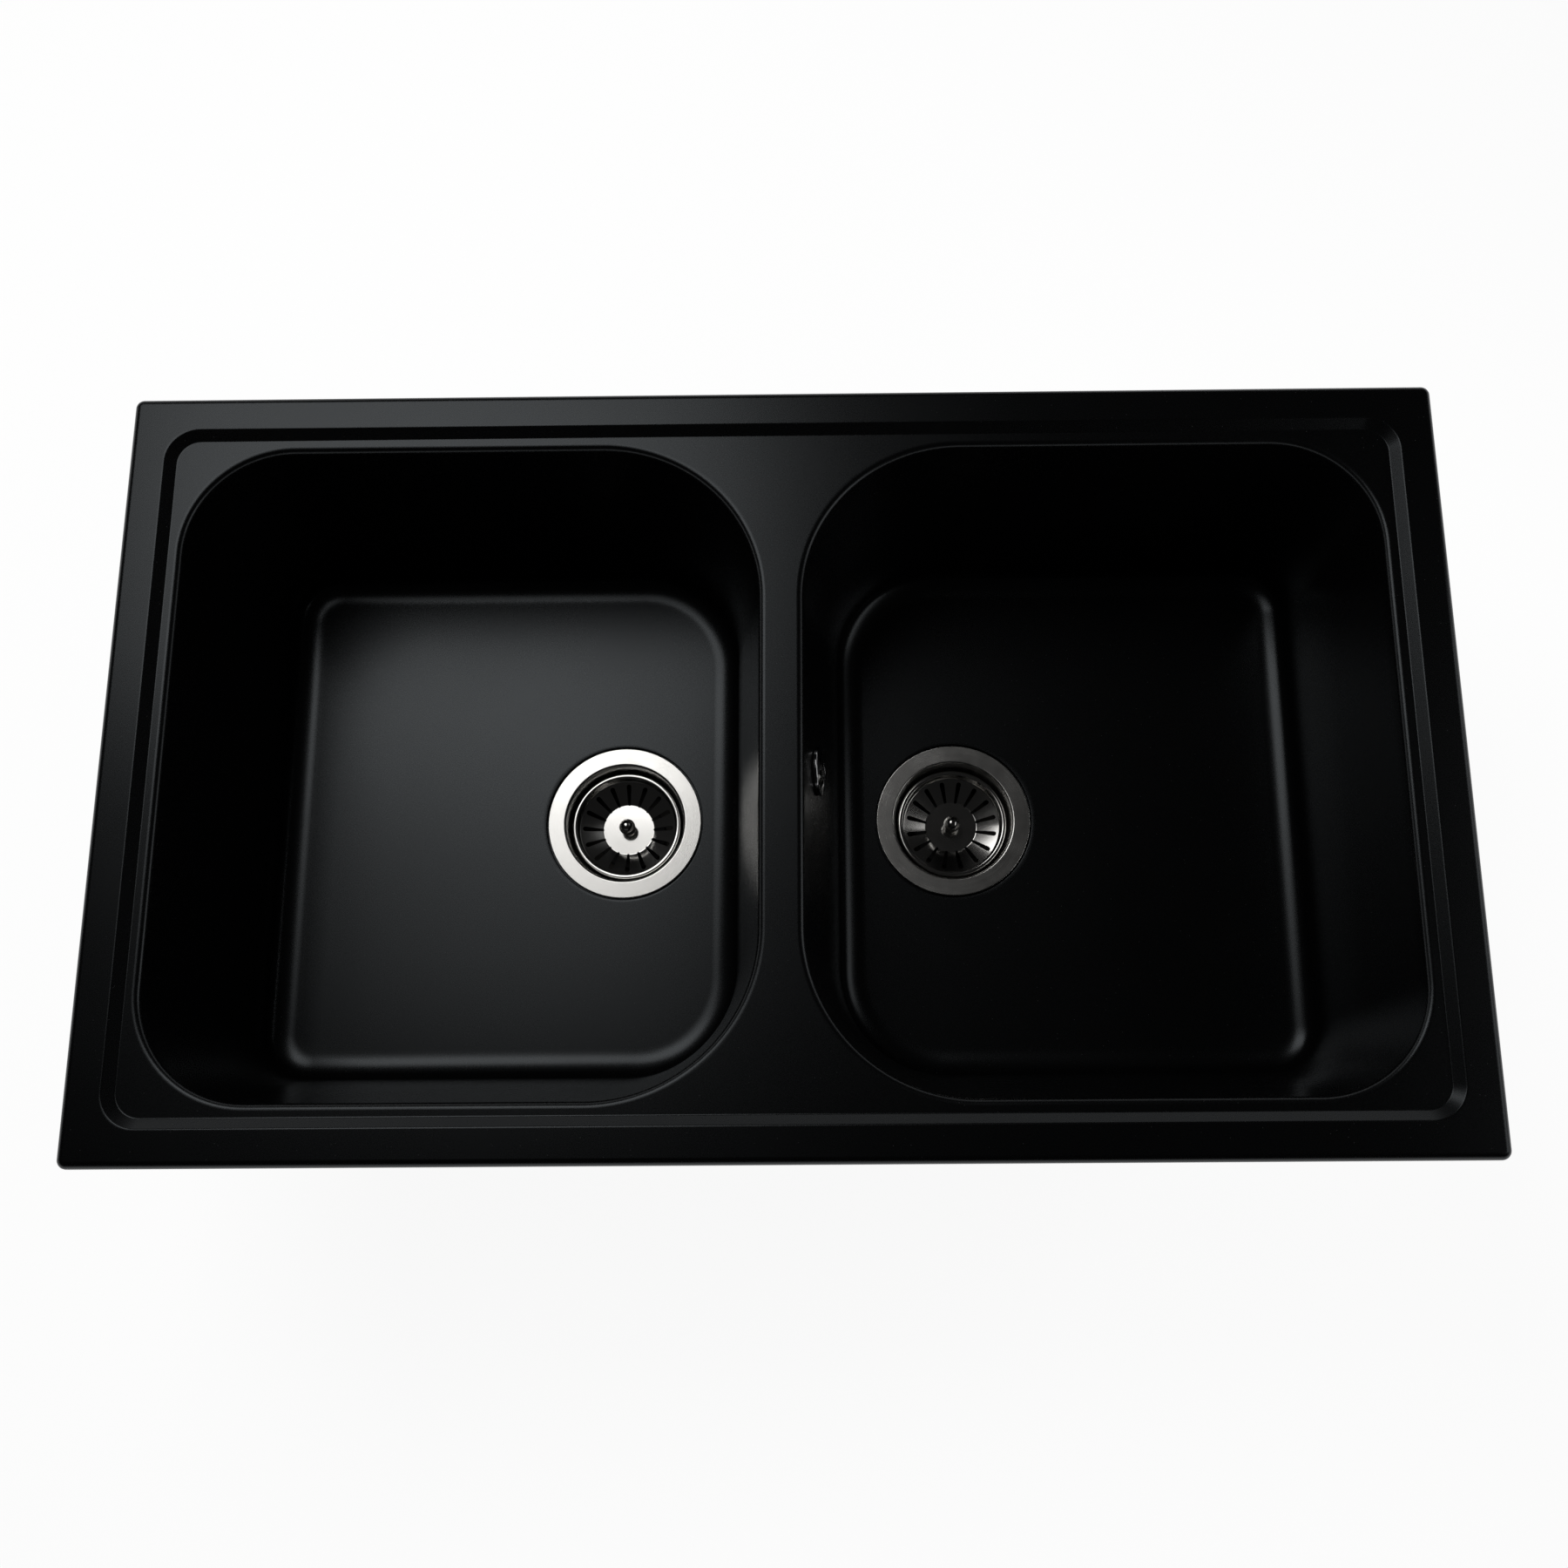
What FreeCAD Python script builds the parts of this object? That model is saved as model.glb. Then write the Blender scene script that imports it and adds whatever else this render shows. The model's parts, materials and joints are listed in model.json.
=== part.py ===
import FreeCAD, Part
import math
import os

# Drop-in double bowl kitchen sink. Millimetres, +Z up, X along the sink, +Y away from the user.
# The origin is the middle of the worktop cut-out, on the surface of the worktop.

# Rim, raised frame and deck
rim_length = 860.0
rim_width = 500.0
rim_thickness = 10.0
rim_corner = 6.0
rim_edge_round = 4.5
frame_end_width = 23.5
frame_side_width = 23.0
step_run = 6.5
step_drop = 5.0
step_top_corner = 22.0
step_foot_corner = 16.0
step_top_round = 2.0
step_foot_round = 1.5
deck_thickness = 13.0
collar_inset = 15.0
collar_corner = 16.0

# Bowls
bowl_depth = 185.0
divider_width = 27.8
deck_ledge = 8.0
wall_thickness = 8.0
floor_thickness = 9.0
end_draft = 8.3
side_draft = 9.95
mouth_end_corner = 70.0
mouth_divider_corner = 105.0
floor_end_corner = 25.0
floor_divider_corner = 65.0
mouth_round = 4.5
floor_round = 14.0

# Rim seal
seal_width = 6.0
seal_thickness = 2.0
seal_inset = 4.0
seal_corner = 2.0

# Waste opening in each bowl floor
drain_spacing = 243.6
drain_hole_radius = 46.0
drain_boss_radius = 66.0
drain_boss_thickness = 12.0
flange_side_gap = 1.5

# Stainless waste cup
flange_radius = 57.0
flange_proud = 0.4
flange_round = 0.8
cup_sheet = 1.0
cup_mouth_radius = 44.0
cup_shoulder_radius = 42.0
cup_shoulder_depth = 14.0
cup_foot_radius = 40.5
cup_depth = 48.0
cup_foot_round = 7.0
cup_mouth_round = 1.5
cup_shoulder_round = 3.0
outlet_radius = 20.0
neck_depth = 10.0
cup_hub_radius = 8.0
cup_arm_width = 5.0
cup_arm_thickness = 2.0
arm_count = 4

# Seals under the flange and under the bowl
flange_seal_thickness = 1.6
flange_seal_margin = 1.0
under_seal_thickness = 2.0
under_seal_margin = 1.0

# Plastic waste body
body_rim_radius = 55.0
body_rim_thickness = 4.0
body_wall = 3.0
body_mouth_radius = 46.0
body_foot_radius = 42.5
body_foot_round = 5.0
body_edge_round = 1.0
body_cup_gap = 2.0
throat_radius = 23.5
throat_wall = 3.5
throat_length = 27.4
outlet_thread_radius = 23.9
outlet_bore_radius = 19.5
outlet_length = 24.0
body_hub_gap = 2.4
body_hub_radius = 7.0
body_hub_height = 8.0
body_arm_width = 3.5
body_arm_height = 4.0

# Clamping screw of the waste
waste_screw_radius = 3.0
waste_screw_head_radius = 5.5
waste_screw_head_height = 3.3
waste_screw_overrun = 1.0
waste_nut_radius = 4.5
waste_nut_length = 7.0
thread_gap = 0.05
screw_hole_gap = 0.3
socket_share = 1.6
socket_floor_share = 0.35

# Strainer basket
basket_rim_radius = 38.75
basket_bead_radius = 1.75
basket_rim_depth = 11.6
basket_hub_depth = 24.5
basket_hub_radius = 19.2
basket_hub_round = 1.5
basket_wall_radius = 36.4
basket_wall_lean = 0.9
basket_wall_depth = 17.9
basket_wall_round = 1.2
basket_sheet = 0.9
slot_count = 16
slot_inner_radius = 20.4
slot_outer_radius = 34.0
slot_inner_width = 2.0
slot_outer_width = 3.5
right_basket_turn = 11.25
knob_radius = 6.0
knob_height = 16.5
knob_neck_radius = 4.2
knob_stud_radius = 3.0
knob_stud_length = 8.0
stem_radius = 5.5
stem_foot_radius = 13.0
stem_foot_thickness = 1.5
stopper_radius = 26.0
stopper_thickness = 5.0
stopper_round = 1.2
basket_washer_radius = 9.0
basket_washer_thickness = 1.2
stud_gap = 0.05

# Overflow in the right bowl, on its divider side
overflow_depth = 52.0
overflow_offset = 3.0
overflow_hole_radius = 13.0
rosette_radius = 16.5
rosette_edge = 2.0
rosette_dome = 1.6
rosette_edge_round = 1.0
rosette_flat_radius = 9.0
rosette_flat_round = 16.0
rosette_hole_radius = 2.2
rosette_hole_circle = 10.5
rosette_hole_count = 8
rosette_screw_radius = 2.5
rosette_screw_head_radius = 4.5
rosette_screw_head_height = 2.2
rosette_screw_slot_width = 1.2
rosette_screw_slot_depth = 1.1
rosette_screw_end_gap = 2.0
front_seal_inner_radius = 13.4
front_seal_outer_radius = 15.6
front_seal_thickness = 1.0
back_seal_inner_radius = 14.0
back_seal_thickness = 2.0
elbow_flange_radius = 18.0
elbow_flange_thickness = 3.0
chamber_radius = 15.0
chamber_depth = 14.0
chamber_wall = 2.5
elbow_boss_radius = 4.2
elbow_boss_gap = 4.0
spigot_radius = 10.5
spigot_bore_radius = 8.0
spigot_setback = 16.0
spigot_length = 14.0
spigot_lead = 4.0
hose_straight = 1.0
hose_nut_wall = 3.4
hose_nut_length = 16.0
hose_nut_gap = 0.1
inlet_length = 16.0
inlet_drop = 17.4

# Fixing clips under the rim
worktop_thickness = 38.0
clip_end_inset = 140.0
clip_boss_radius = 8.0
clip_boss_height = 8.0
plug_radius = 4.0
plug_length = 13.0
plug_flange_radius = 6.5
plug_flange_thickness = 1.0
clip_screw_radius = 2.5
clip_screw_grip = 11.0
clip_head_radius = 4.5
clip_head_height = 3.5
bracket_width = 12.0
bracket_thickness = 2.0
bracket_reach = 26.0
bracket_claw_height = 6.0
bracket_pivot_gap = 0.08
bracket_side_gap = 0.2
worktop_gap = 0.3
clip_nut_flats = 8.0
clip_nut_height = 4.0

# Levels and places that follow from the sizes above
rim_top = rim_thickness
deck_top = rim_top - step_drop
deck_under = deck_top - deck_thickness
bowl_floor = rim_top - bowl_depth
floor_under = bowl_floor - floor_thickness
end_slope = math.tan(math.radians(end_draft))
side_slope = math.tan(math.radians(side_draft))
step_top_x = rim_length / 2 - frame_end_width
step_top_y = rim_width / 2 - frame_side_width
step_foot_x = step_top_x - step_run
step_foot_y = step_top_y - step_run
mouth_low_x = divider_width / 2
mouth_high_x = step_foot_x - deck_ledge
mouth_y = step_foot_y - deck_ledge
collar_x = rim_length / 2 - collar_inset
collar_y = rim_width / 2 - collar_inset
drain_x = drain_spacing / 2
flange_top = bowl_floor + flange_proud
flange_under = flange_top - cup_sheet
recess_floor = flange_under - flange_seal_thickness
recess_radius = flange_radius + flange_side_gap
boss_under = bowl_floor - drain_boss_thickness
cup_floor = flange_top - cup_depth
neck_radius = outlet_radius + cup_sheet
neck_end = cup_floor - neck_depth
body_top = boss_under - under_seal_thickness
body_floor = cup_floor - cup_sheet - body_cup_gap
body_under = body_floor - body_wall
throat_outer_radius = throat_radius + throat_wall
throat_floor = body_floor - throat_length
throat_end = throat_floor - body_wall
outlet_end = throat_end - outlet_length
hub_top = neck_end - body_hub_gap
hub_end = hub_top - body_hub_height
inlet_z = body_floor - inlet_drop
basket_hub = flange_top - basket_hub_depth
basket_rim = flange_top - basket_rim_depth
basket_wall_foot = flange_top - basket_wall_depth
basket_slope = (basket_wall_foot - basket_hub) / (basket_wall_radius - basket_hub_radius)
wall_through = wall_thickness * math.cos(math.radians(side_draft))
spigot_back = wall_through + spigot_setback
spigot_reach = chamber_radius + spigot_length
clip_x = collar_x - clip_boss_radius
clip_column = rim_length / 2 - clip_end_inset
clip_y = collar_y - clip_boss_radius
boss_end = deck_under - clip_boss_height
bracket_top = -worktop_thickness - worktop_gap - bracket_claw_height
bracket_under = bracket_top - bracket_thickness
clip_head_top = bracket_under - bracket_side_gap
overshoot = 1.0
same_level = 1e-4
edge_margin = 0.1
same_point = 1e-6

V = FreeCAD.Vector
up = V(0, 0, 1)


def moved(shape, x, y, z):
    copy = shape.copy()
    copy.translate(V(x, y, z))
    return copy


def corner_arc(x, y, radius, start, z):
    points = []
    for turn in (0, 45, 90):
        angle = math.radians(start + turn)
        points.append(V(x + radius * math.cos(angle), y + radius * math.sin(angle), z))
    return Part.Arc(*points).toShape()


def outline(x_low, x_high, y_half, low_corner, high_corner, z):
    # A rectangle with one corner radius at each end, anticlockwise from its +X side
    centres = (
        (x_high - high_corner, y_half - high_corner, high_corner, 0),
        (x_low + low_corner, y_half - low_corner, low_corner, 90),
        (x_low + low_corner, low_corner - y_half, low_corner, 180),
        (x_high - high_corner, high_corner - y_half, high_corner, 270),
    )
    arcs = [corner_arc(x, y, radius, start, z) for x, y, radius, start in centres]
    edges = []
    for index, arc in enumerate(arcs):
        following = arcs[(index + 1) % len(arcs)]
        edges.append(arc)
        edges.append(Part.makeLine(arc.Vertexes[-1].Point, following.Vertexes[0].Point))
    return Part.Wire(edges)


def centred_outline(x_half, y_half, corner, z):
    return outline(-x_half, x_half, y_half, corner, corner, z)


def prism(wire, height):
    return Part.Face(wire).extrude(V(0, 0, height))


def loft(low_wire, high_wire):
    return Part.makeLoft([low_wire, high_wire], True, True)


def cylinder(radius, low, high, x=0.0, y=0.0):
    return Part.makeCylinder(radius, high - low, V(x, y, low))


def ring(inner_radius, outer_radius, low, high):
    return cylinder(outer_radius, low, high).cut(cylinder(inner_radius, low, high))


def corner_cut(before, corner, after, radius):
    # The two tangent points and the middle of the arc that rounds one corner of a profile
    to_before = (before - corner).normalize()
    to_after = (after - corner).normalize()
    half_angle = to_before.getAngle(to_after) / 2
    reach = radius / math.tan(half_angle)
    bisector = (to_before + to_after).normalize()
    centre = corner + bisector * (radius / math.sin(half_angle))
    return corner + to_before * reach, centre - bisector * radius, corner + to_after * reach


def turned(profile):
    # A closed profile of (radius, height, rounding), turned about Z
    corners = [V(point[0], 0, point[1]) for point in profile]
    count = len(corners)
    starts = []
    ends = []
    edges = []
    for index, point in enumerate(profile):
        corner = corners[index]
        if len(point) == 2:
            starts.append(corner)
            ends.append(corner)
            continue
        first, middle, last = corner_cut(corners[index - 1], corner, corners[(index + 1) % count], point[2])
        edges.append(Part.Arc(first, middle, last).toShape())
        starts.append(first)
        ends.append(last)
    for index in range(count):
        following = starts[(index + 1) % count]
        if ends[index].distanceToPoint(following) > same_point:
            edges.append(Part.makeLine(ends[index], following))
    wire = Part.Wire(Part.__sortEdges__(edges))
    return Part.Face(wire).revolve(V(0, 0, 0), up, 360)


def hexagon(flats, low, high):
    corner_radius = flats / math.sqrt(3)
    angles = [math.radians(60 * index) for index in range(7)]
    points = [V(corner_radius * math.cos(angle), corner_radius * math.sin(angle), low) for angle in angles]
    return prism(Part.makePolygon(points), high - low)


def arms(reach, width, low, high):
    # Equal arms from the axis out to a radius, between the row axes
    blade = Part.makeBox(reach, width, high - low, V(0, -width / 2, low))
    solids = []
    for index in range(arm_count):
        arm = blade.copy()
        arm.rotate(V(0, 0, 0), up, (index + 0.5) * 360 / arm_count)
        solids.append(arm)
    return solids


# Sink body


def bowl_section(z, grow):
    # The right bowl's outline at a level, moved outwards by grow
    drop = deck_top - z
    share = drop / (deck_top - bowl_floor)
    low_corner = mouth_divider_corner + share * (floor_divider_corner - mouth_divider_corner)
    high_corner = mouth_end_corner + share * (floor_end_corner - mouth_end_corner)
    x_low = mouth_low_x + drop * side_slope - grow
    x_high = mouth_high_x - drop * end_slope + grow
    y_half = mouth_y - drop * side_slope + grow
    return outline(x_low, x_high, y_half, low_corner + grow, high_corner + grow, z)


def round_edges(shape, radius, wanted):
    edges = [edge for edge in shape.Edges if wanted(edge)]
    return shape.makeFillet(radius, edges)


def edge_at(edge, z):
    box = edge.BoundBox
    return abs(box.ZMin - z) < same_level and abs(box.ZMax - z) < same_level


def bowl_block(low, high, grow, radius):
    block = loft(bowl_section(low, grow), bowl_section(high, grow))
    return round_edges(block, radius, lambda edge: edge_at(edge, low))


def both_bowls(shape):
    return [shape, shape.mirror(V(0, 0, 0), V(1, 0, 0))]


def clip_places():
    # Screw position and the turn that points a clip's gripping side out of the sink
    places = []
    for column in (-1, 0, 1):
        places.append((column * clip_column, clip_y, 0))
    for column in (-1, 0, 1):
        places.append((column * clip_column, -clip_y, 180))
    places.append((clip_x, 0.0, 270))
    places.append((-clip_x, 0.0, 90))
    return places


def overflow_placement():
    # Local Z points into the right bowl, square to its divider-side wall, and local X runs down it
    z = rim_top - overflow_depth
    x = mouth_low_x + (deck_top - z) * side_slope
    return FreeCAD.Placement(V(x, overflow_offset, z), FreeCAD.Rotation(V(0, 1, 0), 90 - side_draft))


def placed(shape):
    copy = shape.copy()
    copy.Placement = overflow_placement().multiply(copy.Placement)
    return copy


def seal_ring(low, high):
    outer_x = rim_length / 2 - seal_inset
    outer_y = rim_width / 2 - seal_inset
    inner_x = outer_x - seal_width
    inner_y = outer_y - seal_width
    outer = prism(centred_outline(outer_x, outer_y, seal_corner + seal_width, low), high - low)
    inner = prism(centred_outline(inner_x, inner_y, seal_corner, low), high - low)
    return outer.cut(inner)


def sink_body():
    slab = prism(centred_outline(rim_length / 2, rim_width / 2, rim_corner, 0.0), rim_top)
    slab = round_edges(slab, rim_edge_round, lambda edge: edge_at(edge, rim_top))
    collar = prism(centred_outline(collar_x, collar_y, collar_corner, deck_under), rim_thickness / 2 - deck_under)
    outer = bowl_block(floor_under, 0.0, wall_thickness, floor_round + wall_thickness)
    added = [collar] + both_bowls(outer)
    for x in (-drain_x, drain_x):
        added.append(cylinder(drain_boss_radius, boss_under, bowl_floor, x))
    for x, y, turn in clip_places():
        added.append(cylinder(clip_boss_radius, boss_end, 0.0, x, y))
    body = slab.fuse(added)
    foot = centred_outline(step_foot_x, step_foot_y, step_foot_corner, deck_top)
    rise = (step_drop + overshoot) / step_drop
    high_x = step_foot_x + rise * step_run
    high_y = step_foot_y + rise * step_run
    high_corner = step_foot_corner + rise * (step_top_corner - step_foot_corner)
    recess = loft(foot, centred_outline(high_x, high_y, high_corner, rim_top + overshoot))
    recess = round_edges(recess, step_foot_round, lambda edge: edge_at(edge, deck_top))
    cavity = bowl_block(bowl_floor, deck_top + overshoot, 0.0, floor_round)
    removed = [recess, seal_ring(0.0, seal_thickness)] + both_bowls(cavity)
    for x in (-drain_x, drain_x):
        removed.append(cylinder(drain_hole_radius, boss_under - overshoot, bowl_floor + overshoot, x))
        removed.append(cylinder(recess_radius, recess_floor, bowl_floor + overshoot, x))
    for x, y, turn in clip_places():
        removed.append(cylinder(plug_radius, boss_end - overshoot, boss_end + plug_length, x, y))
    removed.append(placed(cylinder(overflow_hole_radius, -wall_through - overshoot, overshoot)))
    body = body.cut(removed)
    body = round_edges(body, mouth_round, is_mouth_edge)
    return round_edges(body, step_top_round, is_step_top_edge)


def is_mouth_edge(edge):
    box = edge.BoundBox
    inside = max(abs(box.XMin), abs(box.XMax)) < mouth_high_x + edge_margin
    return edge_at(edge, deck_top) and inside


def is_step_top_edge(edge):
    box = edge.BoundBox
    inside = max(abs(box.XMin), abs(box.XMax)) < step_top_x + edge_margin
    return edge_at(edge, rim_top) and inside


def rim_seal():
    return seal_ring(0.0, seal_thickness)


# Waste under each bowl, with its axis on Z


def waste_cup():
    foot = cup_floor - cup_sheet
    shoulder = flange_top - cup_shoulder_depth
    shell = turned([
        (flange_radius, flange_top, flange_round),
        (cup_mouth_radius, flange_top, cup_mouth_round),
        (cup_shoulder_radius, shoulder, cup_shoulder_round),
        (cup_foot_radius, cup_floor, cup_foot_round),
        (outlet_radius, cup_floor, cup_sheet),
        (outlet_radius, neck_end),
        (neck_radius, neck_end),
        (neck_radius, foot),
        (cup_foot_radius + cup_sheet, foot, cup_foot_round + cup_sheet),
        (cup_shoulder_radius + cup_sheet, shoulder, cup_shoulder_round + cup_sheet),
        (cup_mouth_radius + cup_sheet, flange_under),
        (flange_radius, flange_under),
    ])
    arm_top = neck_end + cup_arm_thickness
    hub = cylinder(cup_hub_radius, neck_end, arm_top)
    cup = shell.fuse([hub] + arms(outlet_radius + cup_sheet / 2, cup_arm_width, neck_end, arm_top))
    return cup.cut(cylinder(waste_screw_radius + screw_hole_gap, neck_end, arm_top)).removeSplitter()


def flange_seal():
    inner = drain_hole_radius + flange_seal_margin
    return ring(inner, flange_radius - flange_seal_margin, recess_floor, flange_under)


def under_seal():
    return ring(drain_hole_radius + under_seal_margin, body_rim_radius, body_top, boss_under)


def waste_body(inlet_turn=None):
    rim_under = body_top - body_rim_thickness
    shell = turned([
        (body_mouth_radius, body_top),
        (body_rim_radius, body_top),
        (body_rim_radius, rim_under),
        (body_mouth_radius + body_wall, rim_under, body_edge_round),
        (body_foot_radius + body_wall, body_under, body_foot_round + body_wall),
        (throat_outer_radius, body_under, body_edge_round),
        (throat_outer_radius, throat_end),
        (outlet_thread_radius, throat_end),
        (outlet_thread_radius, outlet_end),
        (outlet_bore_radius, outlet_end),
        (outlet_bore_radius, throat_floor),
        (throat_radius, throat_floor),
        (throat_radius, body_floor, body_edge_round),
        (body_foot_radius, body_floor, body_foot_round),
    ])
    hub = cylinder(body_hub_radius, hub_end, hub_top)
    arm_reach = throat_radius + throat_wall / 2
    body = shell.fuse([hub] + arms(arm_reach, body_arm_width, hub_top - body_arm_height, hub_top))
    removed = [cylinder(waste_screw_radius + screw_hole_gap, hub_end, hub_top)]
    removed.append(cylinder(waste_nut_radius, hub_end, hub_end + waste_nut_length))
    if inlet_turn is not None:
        length = inlet_length + throat_wall / 2
        start = throat_outer_radius - throat_wall / 2
        body = body.fuse(turned_pipe(spigot_radius, start, length, inlet_turn))
        removed.append(turned_pipe(spigot_bore_radius, start - throat_wall, length + throat_wall, inlet_turn))
    return body.cut(removed).removeSplitter()


def turned_pipe(radius, start, length, turn):
    # A cylinder at the inlet's level that points away from the waste's axis
    pipe = Part.makeCylinder(radius, length, V(start, 0, inlet_z), V(1, 0, 0))
    pipe.rotate(V(0, 0, 0), up, turn)
    return pipe


def waste_screw():
    seat = neck_end + cup_arm_thickness
    head = cylinder(waste_screw_head_radius, seat, seat + waste_screw_head_height)
    shank = cylinder(waste_screw_radius, hub_end - waste_screw_overrun, seat)
    socket_floor = seat + waste_screw_head_height * socket_floor_share
    socket = hexagon(waste_screw_radius * socket_share, socket_floor, seat + waste_screw_head_height)
    return head.fuse(shank).removeSplitter().cut(socket)


def waste_nut():
    bore = waste_screw_radius + thread_gap
    return ring(bore, waste_nut_radius, hub_end, hub_end + waste_nut_length)


# Strainer basket, with its axis on Z


def slot_cutter(angle):
    inner = slot_inner_width / 2
    outer = slot_outer_width / 2
    low = basket_hub - basket_sheet - overshoot
    corners = [
        V(slot_inner_radius, -inner, low),
        V(slot_outer_radius - outer, -outer, low),
        V(slot_outer_radius, 0, low),
        V(slot_outer_radius - outer, outer, low),
        V(slot_inner_radius, inner, low),
        V(slot_inner_radius - inner, 0, low),
    ]
    edges = [
        Part.makeLine(corners[0], corners[1]),
        Part.Arc(corners[1], corners[2], corners[3]).toShape(),
        Part.makeLine(corners[3], corners[4]),
        Part.Arc(corners[4], corners[5], corners[0]).toShape(),
    ]
    cutter = prism(Part.Wire(edges), basket_rim - low)
    cutter.rotate(V(0, 0, 0), up, angle)
    return cutter


def basket_pan(turn):
    under = basket_hub - basket_sheet
    outside = basket_wall_radius + basket_sheet
    outside_foot = basket_wall_foot - basket_sheet * (1 - basket_slope)
    pan = turned([
        (0, basket_hub),
        (basket_hub_radius, basket_hub, basket_hub_round),
        (basket_wall_radius, basket_wall_foot, basket_wall_round),
        (basket_wall_radius + basket_wall_lean, basket_rim),
        (outside + basket_wall_lean, basket_rim),
        (outside, outside_foot, basket_wall_round + basket_sheet),
        (basket_hub_radius, under, basket_hub_round + basket_sheet),
        (0, under),
    ])
    bead = Part.makeTorus(basket_rim_radius, basket_bead_radius, V(0, 0, basket_rim))
    cutters = [slot_cutter(turn + index * 360 / slot_count) for index in range(slot_count)]
    cutters.append(cylinder(knob_stud_radius + stud_gap, under, basket_hub))
    return pan.fuse(bead).cut(cutters)


def basket_knob():
    neck = cylinder(knob_neck_radius, basket_hub, basket_hub + knob_height - knob_radius)
    ball = Part.makeSphere(knob_radius, V(0, 0, basket_hub + knob_height - knob_radius))
    stud = cylinder(knob_stud_radius, basket_hub - knob_stud_length, basket_hub)
    return neck.fuse([ball, stud]).removeSplitter()


def basket_stem():
    top = basket_hub - basket_sheet
    foot = cup_floor + stopper_thickness
    shaft = cylinder(stem_radius, foot, top)
    plate = cylinder(stem_foot_radius, foot, foot + stem_foot_thickness)
    stud = cylinder(knob_stud_radius, cup_floor - basket_washer_thickness, foot)
    socket = cylinder(knob_stud_radius + stud_gap, basket_hub - knob_stud_length, top)
    return shaft.fuse([plate, stud]).cut(socket).removeSplitter()


def basket_stopper():
    top = cup_floor + stopper_thickness
    bore = knob_stud_radius + stud_gap
    return turned([
        (bore, cup_floor),
        (stopper_radius, cup_floor, stopper_round),
        (stopper_radius, top, stopper_round),
        (bore, top),
    ])


def basket_washer():
    return ring(knob_stud_radius + stud_gap, basket_washer_radius, cup_floor - basket_washer_thickness, cup_floor)


# Overflow, in the local frame of overflow_placement


def overflow_rosette():
    low = front_seal_thickness
    edge_top = low + rosette_edge
    top = edge_top + rosette_dome
    seat = top - rosette_screw_head_height
    dome = turned([
        (rosette_screw_radius + screw_hole_gap, low),
        (rosette_radius, low),
        (rosette_radius, edge_top, rosette_edge_round),
        (rosette_flat_radius, top, rosette_flat_round),
        (rosette_screw_head_radius + screw_hole_gap, top),
        (rosette_screw_head_radius + screw_hole_gap, seat),
        (rosette_screw_radius + screw_hole_gap, seat),
    ])
    holes = []
    for index in range(rosette_hole_count):
        angle = math.radians((index + 0.5) * 360 / rosette_hole_count)
        x = rosette_hole_circle * math.cos(angle)
        y = rosette_hole_circle * math.sin(angle)
        holes.append(cylinder(rosette_hole_radius, 0.0, top + overshoot, x, y))
    return placed(dome.cut(holes))


def overflow_screw():
    top = front_seal_thickness + rosette_edge + rosette_dome
    seat = top - rosette_screw_head_height
    head = cylinder(rosette_screw_head_radius, seat, top)
    shank = cylinder(rosette_screw_radius, -spigot_back, seat)
    slot_corner = V(-rosette_screw_head_radius, -rosette_screw_slot_width / 2, top - rosette_screw_slot_depth)
    slot_length = 2 * rosette_screw_head_radius
    slot = Part.makeBox(slot_length, rosette_screw_slot_width, rosette_screw_slot_depth, slot_corner)
    return placed(head.fuse(shank).removeSplitter().cut(slot))


def overflow_front_seal():
    return placed(ring(front_seal_inner_radius, front_seal_outer_radius, 0.0, front_seal_thickness))


def overflow_back_seal():
    back = -wall_through - back_seal_thickness
    return placed(ring(back_seal_inner_radius, elbow_flange_radius, back, -wall_through))


def overflow_elbow():
    front = -wall_through - back_seal_thickness
    flange_back = front - elbow_flange_thickness
    back = flange_back - chamber_depth
    flange = cylinder(elbow_flange_radius, flange_back, front)
    chamber = cylinder(chamber_radius, back, flange_back)
    axis = V(1, 0, 0)
    cap = spigot_lead + chamber_wall
    spigot = Part.makeCylinder(spigot_radius, spigot_reach + cap, V(-cap, 0, -spigot_back), axis)
    hollow = cylinder(chamber_radius - chamber_wall, back + chamber_wall, front)
    bore_start = V(-spigot_lead, 0, -spigot_back)
    bore = Part.makeCylinder(spigot_bore_radius, spigot_reach + spigot_lead, bore_start, axis)
    shell = flange.fuse([chamber, spigot]).cut([hollow, bore])
    boss_back = -spigot_back - (spigot_bore_radius + spigot_radius) / 2
    boss = cylinder(elbow_boss_radius, boss_back, front - elbow_boss_gap)
    hole = cylinder(rosette_screw_radius + thread_gap, -spigot_back - rosette_screw_end_gap, front)
    return placed(shell.fuse(boss).cut(hole).removeSplitter())


def hose_corner_points():
    # The hose leaves the elbow down along the wall, and reaches the waste's inlet level
    frame = overflow_placement()
    start = frame.multVec(V(spigot_reach, 0, -spigot_back))
    down = frame.Rotation.multVec(V(1, 0, 0))
    corner = start + down * ((start.z - inlet_z) / -down.z)
    waste_axis = V(drain_x, 0, inlet_z)
    outwards = (corner - waste_axis).normalize()
    end = waste_axis + outwards * (throat_outer_radius + inlet_length)
    return start, corner, end


def inlet_direction():
    start, corner, end = hose_corner_points()
    return math.degrees(math.atan2(corner.y, corner.x - drain_x))


def hose_path():
    # One bend, as wide as the straight ends in the two nuts leave room for
    start, corner, end = hose_corner_points()
    shorter_run = min(start.distanceToPoint(corner), end.distanceToPoint(corner))
    reach = shorter_run - hose_nut_length / 2 - hose_straight
    bend_radius = reach * math.tan((start - corner).getAngle(end - corner) / 2)
    print("hose bend radius", round(bend_radius, 1))
    first, middle, last = corner_cut(start, corner, end, bend_radius)
    edges = [Part.makeLine(start, first), Part.Arc(first, middle, last).toShape(), Part.makeLine(last, end)]
    return Part.Wire(edges)


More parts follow.
